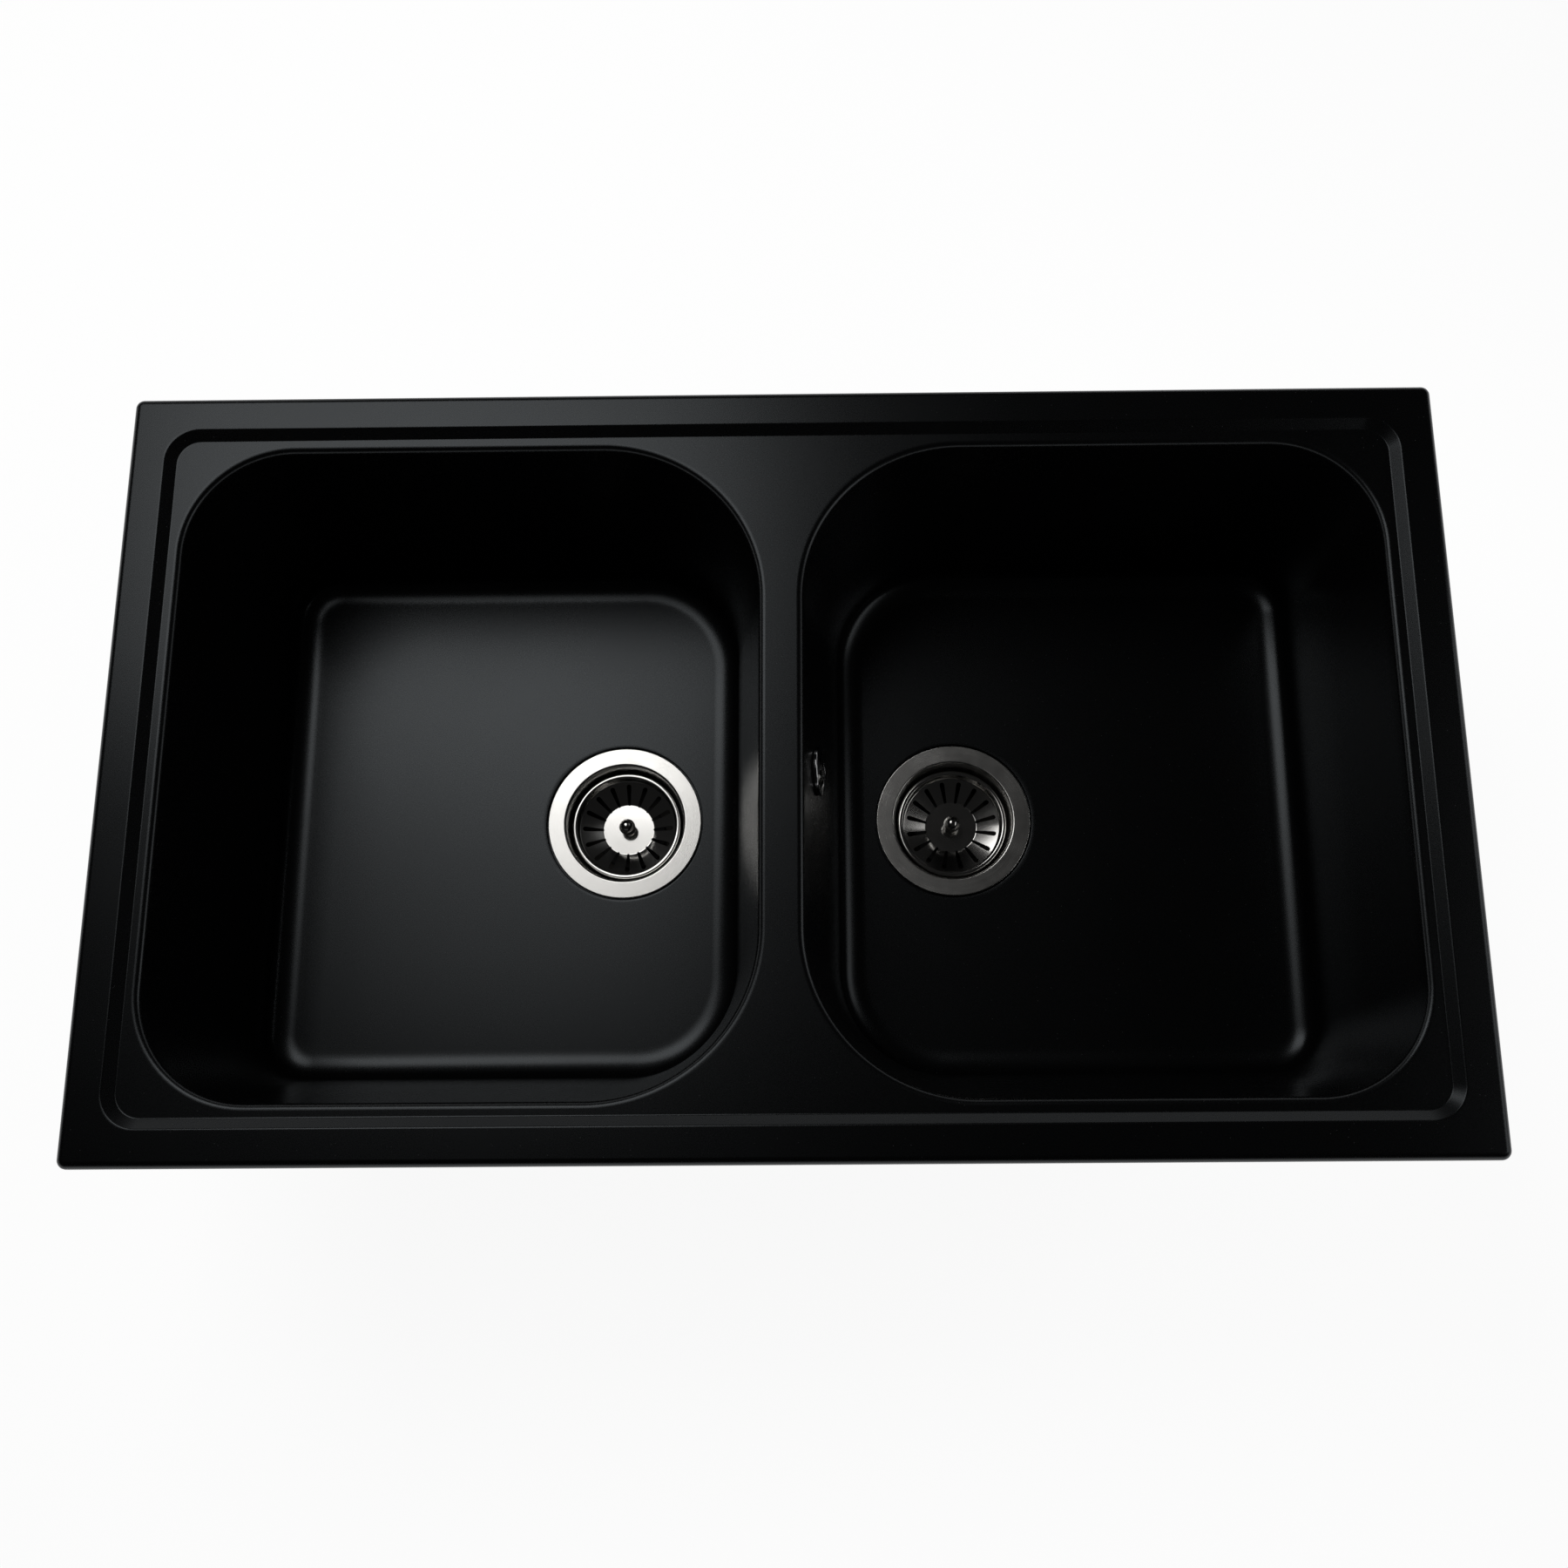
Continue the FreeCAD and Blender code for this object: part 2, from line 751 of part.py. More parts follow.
def tube_along(path, radius):
    start = path.Edges[0].Vertexes[0].Point
    direction = path.Edges[0].tangentAt(path.Edges[0].FirstParameter)
    section = Part.Wire(Part.makeCircle(radius, start, direction))
    return path.makePipeShell([section], True, False)


def overflow_hose():
    path = hose_path()
    return tube_along(path, spigot_radius).cut(tube_along(path, spigot_bore_radius))


def hose_nut(centre, direction):
    inner = spigot_radius + hose_nut_gap
    outer = spigot_radius + hose_nut_wall
    base = centre - direction * (hose_nut_length / 2)
    solid = Part.makeCylinder(outer, hose_nut_length, base, direction)
    return solid.cut(Part.makeCylinder(inner, hose_nut_length, base, direction))


def hose_nuts():
    start, corner, end = hose_corner_points()
    top = hose_nut(start, (corner - start).normalize())
    bottom = hose_nut(end, (end - corner).normalize())
    return top, bottom


# Fixing clips, with the screw's axis on Z and the bracket stowed along +X


def clip_bracket():
    half = bracket_width / 2
    strip = Part.makeBox(bracket_reach, bracket_width, bracket_thickness, V(0, -half, bracket_under))
    end = cylinder(half, bracket_under, bracket_top)
    claw_x = bracket_reach - bracket_thickness
    claw = Part.makeBox(bracket_thickness, bracket_width, bracket_claw_height, V(claw_x, -half, bracket_top))
    hole = cylinder(clip_screw_radius + bracket_pivot_gap, bracket_under, bracket_top)
    return strip.fuse([end, claw]).cut(hole).removeSplitter()


def clip_screw():
    head = cylinder(clip_head_radius, clip_head_top - clip_head_height, clip_head_top)
    shank = cylinder(clip_screw_radius, clip_head_top, boss_end + clip_screw_grip)
    socket_low = clip_head_top - clip_head_height
    socket_floor = clip_head_top - clip_head_height * socket_floor_share
    socket = hexagon(clip_screw_radius * socket_share, socket_low, socket_floor)
    return head.fuse(shank).removeSplitter().cut(socket)


def clip_nut():
    low = bracket_top + bracket_side_gap
    high = low + clip_nut_height
    return hexagon(clip_nut_flats, low, high).cut(cylinder(clip_screw_radius + thread_gap, low, high))


def clip_plug():
    barrel = cylinder(plug_radius, boss_end, boss_end + plug_length)
    flange = cylinder(plug_flange_radius, boss_end - plug_flange_thickness, boss_end)
    bore = cylinder(clip_screw_radius + thread_gap, boss_end - plug_flange_thickness, boss_end + plug_length)
    return barrel.fuse(flange).cut(bore).removeSplitter()


def at_clips(shape):
    copies = []
    for x, y, turn in clip_places():
        copy = shape.copy()
        copy.rotate(V(0, 0, 0), up, turn)
        copies.append(moved(copy, x, y, 0))
    return copies


def waste_nodes(side, x, turn, inlet_turn):
    shapes = {
        "waste_cup": waste_cup(),
        "flange_seal": flange_seal(),
        "under_seal": under_seal(),
        "waste_body": waste_body(inlet_turn),
        "waste_screw": waste_screw(),
        "waste_nut": waste_nut(),
        "basket_pan": basket_pan(turn),
        "basket_knob": basket_knob(),
        "basket_stem": basket_stem(),
        "basket_stopper": basket_stopper(),
        "basket_washer": basket_washer(),
    }
    return {side + "_" + name: moved(shape, x, 0, 0) for name, shape in shapes.items()}


def all_nodes():
    nodes = {"sink_body": sink_body(), "rim_seal": rim_seal()}
    nodes.update(waste_nodes("left", -drain_x, 0.0, None))
    nodes.update(waste_nodes("right", drain_x, right_basket_turn, inlet_direction()))
    nodes["overflow_rosette"] = overflow_rosette()
    nodes["overflow_screw"] = overflow_screw()
    nodes["overflow_front_seal"] = overflow_front_seal()
    nodes["overflow_back_seal"] = overflow_back_seal()
    nodes["overflow_elbow"] = overflow_elbow()
    nodes["overflow_hose"] = overflow_hose()
    nodes["hose_nut_top"], nodes["hose_nut_bottom"] = hose_nuts()
    for index, bracket in enumerate(at_clips(clip_bracket())):
        nodes["clip_bracket_" + str(index + 1)] = bracket
    nodes["clip_screws"] = Part.makeCompound(at_clips(clip_screw()))
    nodes["clip_nuts"] = Part.makeCompound(at_clips(clip_nut()))
    nodes["clip_plugs"] = Part.makeCompound(at_clips(clip_plug()))
    return nodes


os.makedirs("parts", exist_ok=True)
for node, shape in all_nodes().items():
    shape.exportStep("parts/" + node + ".step")
    print(node, len(shape.Solids), shape.isValid(), round(shape.Volume / 1000.0, 2), "cm3")
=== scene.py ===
import json
import math
import bpy
import bmesh
import numpy as np
from mathutils import Matrix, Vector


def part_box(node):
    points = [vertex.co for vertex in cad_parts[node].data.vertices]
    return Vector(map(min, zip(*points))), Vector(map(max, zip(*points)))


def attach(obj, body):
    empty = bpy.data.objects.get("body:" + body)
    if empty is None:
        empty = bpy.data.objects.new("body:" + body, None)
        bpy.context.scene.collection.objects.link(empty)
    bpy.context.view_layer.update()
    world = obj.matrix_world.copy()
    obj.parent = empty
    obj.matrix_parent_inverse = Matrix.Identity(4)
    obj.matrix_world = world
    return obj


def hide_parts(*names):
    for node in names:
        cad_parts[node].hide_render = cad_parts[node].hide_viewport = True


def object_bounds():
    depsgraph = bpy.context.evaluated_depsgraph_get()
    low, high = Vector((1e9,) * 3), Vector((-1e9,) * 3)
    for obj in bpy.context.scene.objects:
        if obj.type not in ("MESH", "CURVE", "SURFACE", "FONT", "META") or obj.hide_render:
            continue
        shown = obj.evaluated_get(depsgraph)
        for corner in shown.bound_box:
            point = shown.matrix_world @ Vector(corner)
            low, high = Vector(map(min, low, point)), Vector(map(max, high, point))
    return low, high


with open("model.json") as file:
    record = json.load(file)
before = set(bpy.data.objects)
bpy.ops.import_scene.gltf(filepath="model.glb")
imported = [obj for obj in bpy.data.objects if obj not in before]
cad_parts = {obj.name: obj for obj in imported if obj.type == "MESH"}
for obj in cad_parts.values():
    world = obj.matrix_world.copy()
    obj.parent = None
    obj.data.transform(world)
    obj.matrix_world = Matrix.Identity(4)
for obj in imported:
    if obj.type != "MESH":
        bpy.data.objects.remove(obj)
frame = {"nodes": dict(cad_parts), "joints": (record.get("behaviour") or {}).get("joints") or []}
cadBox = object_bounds()
nodes = frame["nodes"]
mm = 0.001  # shapes are worked out in millimetres, and turned to metres when their mesh is made
weldDistance = 0.001 * mm


def gridMesh(name, sheets):
    # a sheet is (points, closed round, material number), or only its points where it is closed and
    # takes the first material; points are rows x columns x 3 in mm, and every cell between two rows
    # and two columns becomes one four-sided face
    corners, faces, numbers = [], [], []
    first = 0
    for sheet in sheets:
        points, closed, number = sheet if isinstance(sheet, tuple) else (sheet, True, 0)
        rows, columns = points.shape[:2]
        index = first + np.arange(rows * columns).reshape(rows, columns)
        if closed:
            index = np.concatenate([index, index[:, :1]], axis=1)
        cells = [index[:-1, :-1], index[:-1, 1:], index[1:, 1:], index[1:, :-1]]
        cells = np.stack(cells, axis=-1).reshape(-1, 4)
        corners.append(points.reshape(-1, 3))
        faces.append(cells)
        numbers.append(np.full(len(cells), number, np.int32))
        first += rows * columns
    mesh = bpy.data.meshes.new(name)
    mesh.from_pydata((np.concatenate(corners) * mm).tolist(), [], np.concatenate(faces).tolist())
    mesh.polygons.foreach_set("material_index", np.concatenate(numbers))
    tidy = bmesh.new()
    tidy.from_mesh(mesh)
    bmesh.ops.remove_doubles(tidy, verts=tidy.verts, dist=weldDistance)
    bmesh.ops.recalc_face_normals(tidy, faces=tidy.faces)
    tidy.to_mesh(mesh)
    tidy.free()
    return mesh


def addObject(name, data):
    made = bpy.data.objects.new(name, data)
    bpy.context.scene.collection.objects.link(made)
    return made


def makePiece(node, finish, mesh, body, sharpAngle=35):
    mesh.polygons.foreach_set("use_smooth", np.ones(len(mesh.polygons), bool))
    mesh.set_sharp_from_angle(angle=math.radians(sharpAngle))
    piece = addObject(node + "." + finish if finish else body, mesh)
    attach(piece, body)
    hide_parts(node)
    return piece


def unit(vector):
    return vector / np.linalg.norm(vector)


def roundedLine(corners, closed=True, steps=6):
    # corners are (radius, height) or (radius, height, rounding); a rounded corner becomes an arc that
    # leaves both of its sides without a kink, with one more point on each side to hold the flats flat
    points = []
    count = len(corners)
    for index, corner in enumerate(corners):
        here = np.array(corner[:2], float)
        if len(corner) == 2 or (not closed and index in (0, count - 1)):
            points.append(here[None])
            continue
        before = unit(np.array(corners[index - 1][:2]) - here)
        after = unit(np.array(corners[(index + 1) % count][:2]) - here)
        halfAngle = math.acos(np.clip(before @ after, -1, 1)) / 2
        centre = here + unit(before + after) * corner[2] / math.sin(halfAngle)
        first = here + before * corner[2] / math.tan(halfAngle) - centre
        last = here + after * corner[2] / math.tan(halfAngle) - centre
        share = np.linspace(0, 1, steps + 1)[:, None]
        swing = math.pi - 2 * halfAngle
        arc = (np.sin((1 - share) * swing) * first + np.sin(share * swing) * last) / math.sin(swing)
        hold = min(0.4, 0.15 * corner[2])
        ends = (centre + first + before * hold)[None], (centre + last + after * hold)[None]
        points += [ends[0], centre + arc, ends[1]]
    return np.concatenate(points)


def roundRow(count):
    return np.arange(count) * 2 * math.pi / count


def lathe(profile, columns, centre=(0.0, 0.0), closed=True):
    # every point (radius, height) of the profile goes round the upright axis through centre
    profile = np.asarray(profile, float)
    if closed:
        profile = np.concatenate([profile, profile[:1]])
    turn = roundRow(columns)
    x = centre[0] + profile[:, :1] * np.cos(turn)
    y = centre[1] + profile[:, :1] * np.sin(turn)
    z = np.repeat(profile[:, 1:2], columns, axis=1)
    return np.stack([x, y, z], axis=-1)


_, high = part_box("sink_body")
sink = dict(
    halfLength=high.x / mm, halfWidth=high.y / mm, top=high.z / mm, rimCorner=6.0,
    rimEdgeRound=4.5, undersideRound=0.4, frameEnd=23.5, frameSide=23.0, stepRun=6.5,
    stepDrop=5.0, stepTopCorner=22.0, stepFootCorner=16.0, stepTopRound=2.0, stepFootRound=1.5,
    deckThickness=13.0, collarInset=15.0, collarCorner=16.0, sealInset=4.0, sealWidth=6.0,
    sealDepth=2.0, sealCorner=2.0, bowlDepth=185.0, dividerWidth=27.8, deckLedge=8.0, wall=8.0,
    floor=9.0, endDraft=8.3, sideDraft=9.95, mouthEndCorner=70.0, mouthDividerCorner=105.0,
    floorEndCorner=25.0, floorDividerCorner=65.0, mouthRound=4.5, floorRound=14.0, footWide=26.0,
    footTight=10.0, footTurn=32.0, footGrowth=6.2, footStart=-80.0, footShift=2.5,
    drainSpacing=243.6, drainHole=46.0, recess=57.8, recessDepth=2.2, recessRound=0.6, boss=66.0,
    bossThickness=12.0, clipBoss=8.0, clipBossHole=4.0, clipBossHeight=8.0, overflowHole=13.0,
    overflowDepth=52.0, overflowOffset=3.0, overflowCut=(-20.0, 10.0),
)
deckTop = sink["top"] - sink["stepDrop"]
deckUnder = deckTop - sink["deckThickness"]
floorTop = sink["top"] - sink["bowlDepth"]
floorUnder = floorTop - sink["floor"]
bossUnder = floorTop - sink["bossThickness"]
drainX = sink["drainSpacing"] / 2
footX = sink["halfLength"] - sink["frameEnd"] - sink["stepRun"]
footY = sink["halfWidth"] - sink["frameSide"] - sink["stepRun"]
meanDraft = math.radians((sink["endDraft"] + 3 * sink["sideDraft"]) / 4)
columnCounts = {"side": 84, "end": 96, "divider": 92, "halfCorner": 12}


def outlinePoints(place, xLow, xHigh, yHalf, lowCorner, highCorner, z):
    # place runs anticlockwise from the start of the +X +Y corner: 0 to 1 is that corner's arc, 1 to 2
    # the straight after it, 2 to 3 the next corner's arc, and so on round to 8
    radius = np.array([highCorner, lowCorner, lowCorner, highCorner])
    centreX = np.array([xHigh - highCorner, xLow + lowCorner, xLow + lowCorner, xHigh - highCorner])
    centreY = np.array([1, 1, -1, -1]) * (yHalf - radius)
    corner = (place // 2).astype(int) % 4
    share = place % 1

    def onArc(index, part):
        angle = (index + part) * math.pi / 2
        x = centreX[index] + radius[index] * np.cos(angle)
        y = centreY[index] + radius[index] * np.sin(angle)
        return np.stack([x, y], axis=-1)

    arc = onArc(corner, share)
    straight = onArc(corner, 1.0) * (1 - share)[:, None]
    straight += onArc((corner + 1) % 4, 0.0) * share[:, None]
    flat = np.where((place % 2 < 1)[:, None], arc, straight)
    return np.concatenate([flat, np.full((len(place), 1), float(z))], axis=1)


def bowlSizes(z, grow=0.0):
    # the right bowl's outline at a level: its sides lean in by their drafts, and its corners tighten
    drop = deckTop - z
    share = drop / (deckTop - floorTop)
    lowCorner, highCorner = (
        sink["mouth" + name] + share * (sink["floor" + name] - sink["mouth" + name])
        for name in ("DividerCorner", "EndCorner")
    )
    sideLean = drop * math.tan(math.radians(sink["sideDraft"]))
    endLean = drop * math.tan(math.radians(sink["endDraft"]))
    xLow = sink["dividerWidth"] / 2 + sideLean - grow
    xHigh = footX - sink["deckLedge"] - endLean + grow
    yHalf = footY - sink["deckLedge"] - sideLean + grow
    return xLow, xHigh, yHalf, lowCorner + grow, highCorner + grow


def bowlPlaces():
    # columns at even steps of length round the bowl's mouth, from the middle of its near divider corner
    xLow, xHigh, yHalf, lowCorner, highCorner = bowlSizes(deckTop)
    cornerArcs = np.array([highCorner, lowCorner, lowCorner, highCorner]) * math.pi / 2
    endRun = 2 * (yHalf - highCorner)
    sideRun = xHigh - highCorner - xLow - lowCorner
    dividerRun = 2 * (yHalf - lowCorner)
    runs = [cornerArcs[0], sideRun, cornerArcs[1], dividerRun]
    runs += [cornerArcs[2], sideRun, cornerArcs[3], endRun]
    lengths = np.concatenate([[0.0], np.cumsum(np.tile(runs, 2))])
    anchors = np.interp([4.5, 6.5, 8.5, 10.5, 12.5], np.arange(17), lengths)
    counts = [columnCounts[name] for name in ("side", "end", "side", "divider")]
    parts = [np.linspace(a, b, n, endpoint=False) for a, b, n in zip(anchors[:-1], anchors[1:], counts)]
    return np.interp(np.concatenate(parts), lengths, np.arange(17)) % 8


def rimPlaces():
    # the columns of half the rim, from the middle of the near side round the +X end to the far side
    half = columnCounts["halfCorner"]
    side = columnCounts["side"] - half
    end = columnCounts["end"] - 2 * half
    stops = [(5.5, 6, side), (6, 7, 2 * half), (7, 8, end), (8, 9, 2 * half), (9, 9.5, side)]
    parts = [np.linspace(a, b, n, endpoint=False) for a, b, n in stops]
    return np.concatenate(parts + [[9.5]]) % 8


bowlColumns = bowlPlaces()
rimColumns = rimPlaces()


def bowlRing(z, grow=0.0):
    return outlinePoints(bowlColumns, *bowlSizes(z, grow), z)


def rimRing(x, y, corner, z):
    return outlinePoints(rimColumns, -x, x, y, corner, corner, z)


def halfLoop(x, y, corner, z):
    # half the rim's ring, closed by the line over the divider
    ring = rimRing(x, y, corner, z)
    back = np.linspace(y, -y, columnCounts["divider"], endpoint=False)[1:]
    line = np.stack([np.zeros_like(back), back, np.full_like(back, z)], axis=1)
    return np.concatenate([ring, line])


def filletRings(level, radius, offset, upper, steps):
    # the round between a leaning wall and a flat: at an angle b from the draft to a right angle, the
    # outline grows or shrinks by radius / cos(draft) * (1 - cos(b - draft)) against the wall's own line
    way = 1 if upper else -1
    rings = []
    for angle in np.linspace(meanDraft, math.pi / 2, steps + 1):
        rise = radius * (1 - math.sin(angle))
        shift = radius / math.cos(meanDraft) * (1 - math.cos(angle - meanDraft))
        rings.append(bowlRing(level - way * rise, offset + way * shift))
    return rings


def footRings():
    # the hollow at the wall's foot is two arcs, a wide one that rises out of the floor and a tight one
    # that meets the wall
    wide, tight, lean = sink["footWide"], sink["footTight"], meanDraft
    split = math.pi / 2 - math.radians(sink["footTurn"])
    centre = (wide - tight) * math.cos(split), wide - (wide - tight) * math.sin(split)

    def place(angle):
        if angle >= split:
            return wide * math.cos(angle), wide * (1 - math.sin(angle))
        return centre[0] + tight * math.cos(angle), centre[1] - tight * math.sin(angle)

    reach, height = place(lean)
    rings = []
    tightPart, widePart = np.linspace(lean, split, 7)[:-1], np.linspace(split, math.pi / 2, 10)
    for angle in np.concatenate([tightPart, widePart]):
        out, rise = place(angle)
        shift = reach - out - (height - rise) * math.tan(lean)
        rings.append(bowlRing(floorTop + rise, sink["footGrowth"] - shift))
    return movedBack(rings)


def footShare(z):
    # how much of the foot's own bend outwards and shift backwards the wall has at a level
    return np.clip((sink["footStart"] - z) / (sink["footStart"] - floorTop), 0.0, 1.0) ** 1.5


def movedBack(rings):
    return [ring + footShare(ring[:, 2:]) * [0.0, sink["footShift"], 0.0] for ring in rings]


def blendRings(first, last, shares):
    return [first * (1 - share) + last * share for share in shares]


def drainRing(flatRing, radius, z):
    # a circle round the drain whose points lie in the same directions as the flat ring's
    angle = np.arctan2(flatRing[:, 1], flatRing[:, 0] - drainX)
    x = drainX + radius * np.cos(angle)
    return np.stack([x, radius * np.sin(angle), np.full_like(x, z)], axis=1)


def bowlShell():
    # from the deck down into the bowl, through the drain hole and up outside to the deck's underside
    mouth = filletRings(deckTop, sink["mouthRound"], 0.0, True, 8)[::-1]
    wallFoot = footRings()
    foot = wallFoot[0][0, 2]
    levels = np.linspace(mouth[-1][0, 2], foot, 20)
    growth = sink["footGrowth"] * footShare(levels) / footShare(foot)
    wall = [bowlRing(z, grow) for z, grow in zip(levels[1:-1], growth[1:-1])]
    inner = mouth + movedBack(wall) + wallFoot
    recess = sink["recess"]
    edge = drainRing(inner[-1], recess + sink["recessRound"], floorTop)
    inner += blendRings(inner[-1], edge, (0.02, 0.15, 0.35, 0.55, 0.75, 0.9, 0.985, 1.0))
    for share in (0.33, 0.67, 1.0):
        lean = share * math.pi / 2
        radius = recess + sink["recessRound"] * (1 - math.sin(lean))
        inner.append(drainRing(edge, radius, floorTop - sink["recessRound"] * (1 - math.cos(lean))))
    recessFloor = floorTop - sink["recessDepth"]
    inner += [drainRing(edge, recess, recessFloor), drainRing(edge, sink["drainHole"], recessFloor)]
    inner.append(drainRing(edge, sink["drainHole"], bossUnder))
    boss = sink["boss"]
    outerFoot = filletRings(floorUnder, sink["floorRound"] + sink["wall"], sink["wall"], False, 10)
    outerFoot = movedBack(outerFoot)[::-1]
    outer = [inner[-1]]
    for radius, z in ((boss - 0.5, bossUnder), (boss, bossUnder + 0.5), (boss, floorUnder)):
        outer.append(drainRing(edge, radius, z))
    outer += blendRings(outer[-1], outerFoot[0], (0.02, 0.5, 0.98))
    outer += outerFoot
    levels = np.linspace(outerFoot[-1][0, 2], deckUnder, 8)
    outer += movedBack([bowlRing(z, sink["wall"]) for z in levels[1:]])
    return np.stack(inner), np.stack(outer)


def rimProfile():
    # rows of (half length, half width, corner radius, height), from the deck outwards, over the step
    # and the frame, round the edge and under it to the seal's groove
    x0, x1, x2 = footX, footX + sink["stepRun"], sink["halfLength"]
    top = sink["top"]
    line = roundedLine([
        (x0 - 2.2, deckTop), (x0, deckTop, sink["stepFootRound"]),
        (x1, top, sink["stepTopRound"]), (x2, top, sink["rimEdgeRound"]),
        (x2, 0.0, sink["undersideRound"]), (x2 - sink["sealInset"], 0.0),
    ], closed=False, steps=7)
    edge = x2 - sink["rimEdgeRound"]
    rimCorner = sink["rimCorner"]
    corners = [sink["stepFootCorner"], sink["stepTopCorner"]]
    corners += [rimCorner - sink["rimEdgeRound"], rimCorner]
    corner = np.interp(line[:, 0], [x0, x1, edge, x2], corners)
    across = np.interp(line[:, 0], [x1 + 2.5, edge - 1.0], [footX - footY, x2 - sink["halfWidth"]])
    return np.stack([line[:, 0], line[:, 0] - across, corner, line[:, 1]], axis=1)


def deckPatch(ring, loop):
    return np.stack(blendRings(ring, loop, (0, 0.03, 0.2, 0.4, 0.6, 0.8, 0.97, 1.0)))


def rimShell():
    # the step, the frame and the rim's edge, then the underside with the seal's groove and the collar
    profile = rimProfile()
    upper = np.stack([rimRing(*row) for row in profile])
    x = sink["halfLength"] - sink["sealInset"]
    inner = x - sink["sealWidth"]
    collar = sink["halfLength"] - sink["collarInset"]
    outerCorner = sink["sealCorner"] + sink["sealWidth"]
    gap = sink["halfLength"] - sink["halfWidth"]
    groove = [
        (x, 0.0, outerCorner), (x, sink["sealDepth"], outerCorner),
        (inner, sink["sealDepth"], sink["sealCorner"]), (inner, 0.0, sink["sealCorner"]),
        (collar, 0.0, sink["collarCorner"]), (collar, deckUnder, sink["collarCorner"]),
    ]
    under = [rimRing(reach, reach - gap, corner, z) for reach, z, corner in groove]
    underLoop = halfLoop(collar, collar - gap, sink["collarCorner"], deckUnder)
    return upper, np.stack([upper[-1]] + under), halfLoop(*profile[0]), underLoop


def overflowFrame():
    # the middle of the overflow on the right bowl's divider side, and its local axes as columns:
    # the first runs down the wall, the third points square out of the wall into the bowl
    z = sink["top"] - sink["overflowDepth"]
    draft = math.radians(sink["sideDraft"])
    x = sink["dividerWidth"] / 2 + (deckTop - z) * math.tan(draft)
    turn = Matrix.Rotation(math.pi / 2 - draft, 3, "Y")
    return np.array([x, sink["overflowOffset"], z]), np.array(turn)


def inFrame(points):
    place, axes = overflowFrame()
    return points @ axes.T + place


def cutShape(mesh, sheets):
    # takes closed shapes out of a mesh
    cutter = addObject("cutter", gridMesh("cutter", sheets))
    target = addObject("target", mesh)
    cut = target.modifiers.new("cut", "BOOLEAN")
    cut.object, cut.operation, cut.solver = cutter, "DIFFERENCE", "EXACT"
    bpy.context.view_layer.update()
    finished = target.evaluated_get(bpy.context.evaluated_depsgraph_get())
    result = bpy.data.meshes.new_from_object(finished)
    bpy.data.objects.remove(cutter)
    bpy.data.objects.remove(target)
    return result


def joinMeshes(name, meshes):
    joined = bmesh.new()
    for mesh in meshes:
        joined.from_mesh(mesh)
    result = bpy.data.meshes.new(name)
    joined.to_mesh(result)
    joined.free()
    return result


def clipBosses():
    # a short ring under the rim at each clip
    top = deckUnder + 1.0
    end = deckUnder - sink["clipBossHeight"]
    profile = roundedLine([
        (sink["clipBossHole"], top), (sink["clipBoss"], top), (sink["clipBoss"], end, 0.8),
        (sink["clipBossHole"], end),
    ], steps=3)
    # the clips' screws: the joints of the brackets say where they are
    screws = [joint["pos_m"] for joint in frame["joints"] if joint["type"] == "hinge"]
    return [(lathe(profile, 32, (place[0] / mm, place[1] / mm)), True, 1) for place in screws]


def buildSink():
    inner, outer = bowlShell()
    upper, lower, deckLoop, underLoop = rimShell()
    half = [
        (deckPatch(inner[0], deckLoop), True, 0), (inner, True, 0), (outer, True, 1),
        (deckPatch(outer[-1], underLoop), True, 1), (upper, False, 0), (lower, False, 1),
    ]
    sheets = half + [(points * [-1.0, 1.0, 1.0], closed, number) for points, closed, number in half]
    shell = gridMesh("sink", sheets)
    hole, (back, front) = sink["overflowHole"], sink["overflowCut"]
    plug = roundedLine([(0.0, back), (hole, back), (hole, front), (0.0, front)])
    shell = cutShape(shell, [inFrame(lathe(plug, 48))])
    bosses = gridMesh("bosses", clipBosses())
    mesh = joinMeshes("sink", [shell, bosses])
    return makePiece("sink_body", "", mesh, "sink")


sinkPiece = buildSink()
print("sink:", len(sinkPiece.data.polygons), "faces")


def hubOnArms(size, bore, top, hubEnd, armEnd, reach):
    # a bored hub turned about the axis, and four straight bars of one section that run from just
    # inside the hub out to reach
    radius, half, rounding = size["hubRadius"], size["armWidth"] / 2, size["hubRound"]
    hub = [(radius, top, rounding), (bore, top), (bore, hubEnd), (radius, hubEnd, rounding)]
    corners = (-half, top), (-half, armEnd), (half, armEnd), (half, top)
    section = roundedLine([(*corner, rounding) for corner in corners], steps=3)
    along = np.array([radius - size["armOverlap"], reach])[:, None] * np.ones(len(section))
    across, height = section.T[:, None] * np.ones((1, 2, 1))
    bar = np.stack([along, across, height], axis=-1)
    return [lathe(roundedLine(hub), 48)] + [bar @ turnOf(turn).T for turn in (45, 135, 225, 315)]


waste = dict(
    flangeRadius=57.0, flangeProud=0.4, flangeRound=0.8, sheet=1.0, mouthRadius=44.0,
    mouthRound=1.5, shoulderRadius=42.0, shoulderDepth=14.0, shoulderRound=3.0, footRadius=40.5,
    footRound=7.0, depth=48.0, outletRadius=20.0, neck=10.0, hubRadius=8.0, hubRound=0.4,
    screwHole=3.3, armWidth=5.0, armThickness=2.0, armOverlap=0.3, columns=192,
)
flangeTop = floorTop + waste["flangeProud"]
cupFloor = flangeTop - waste["depth"]


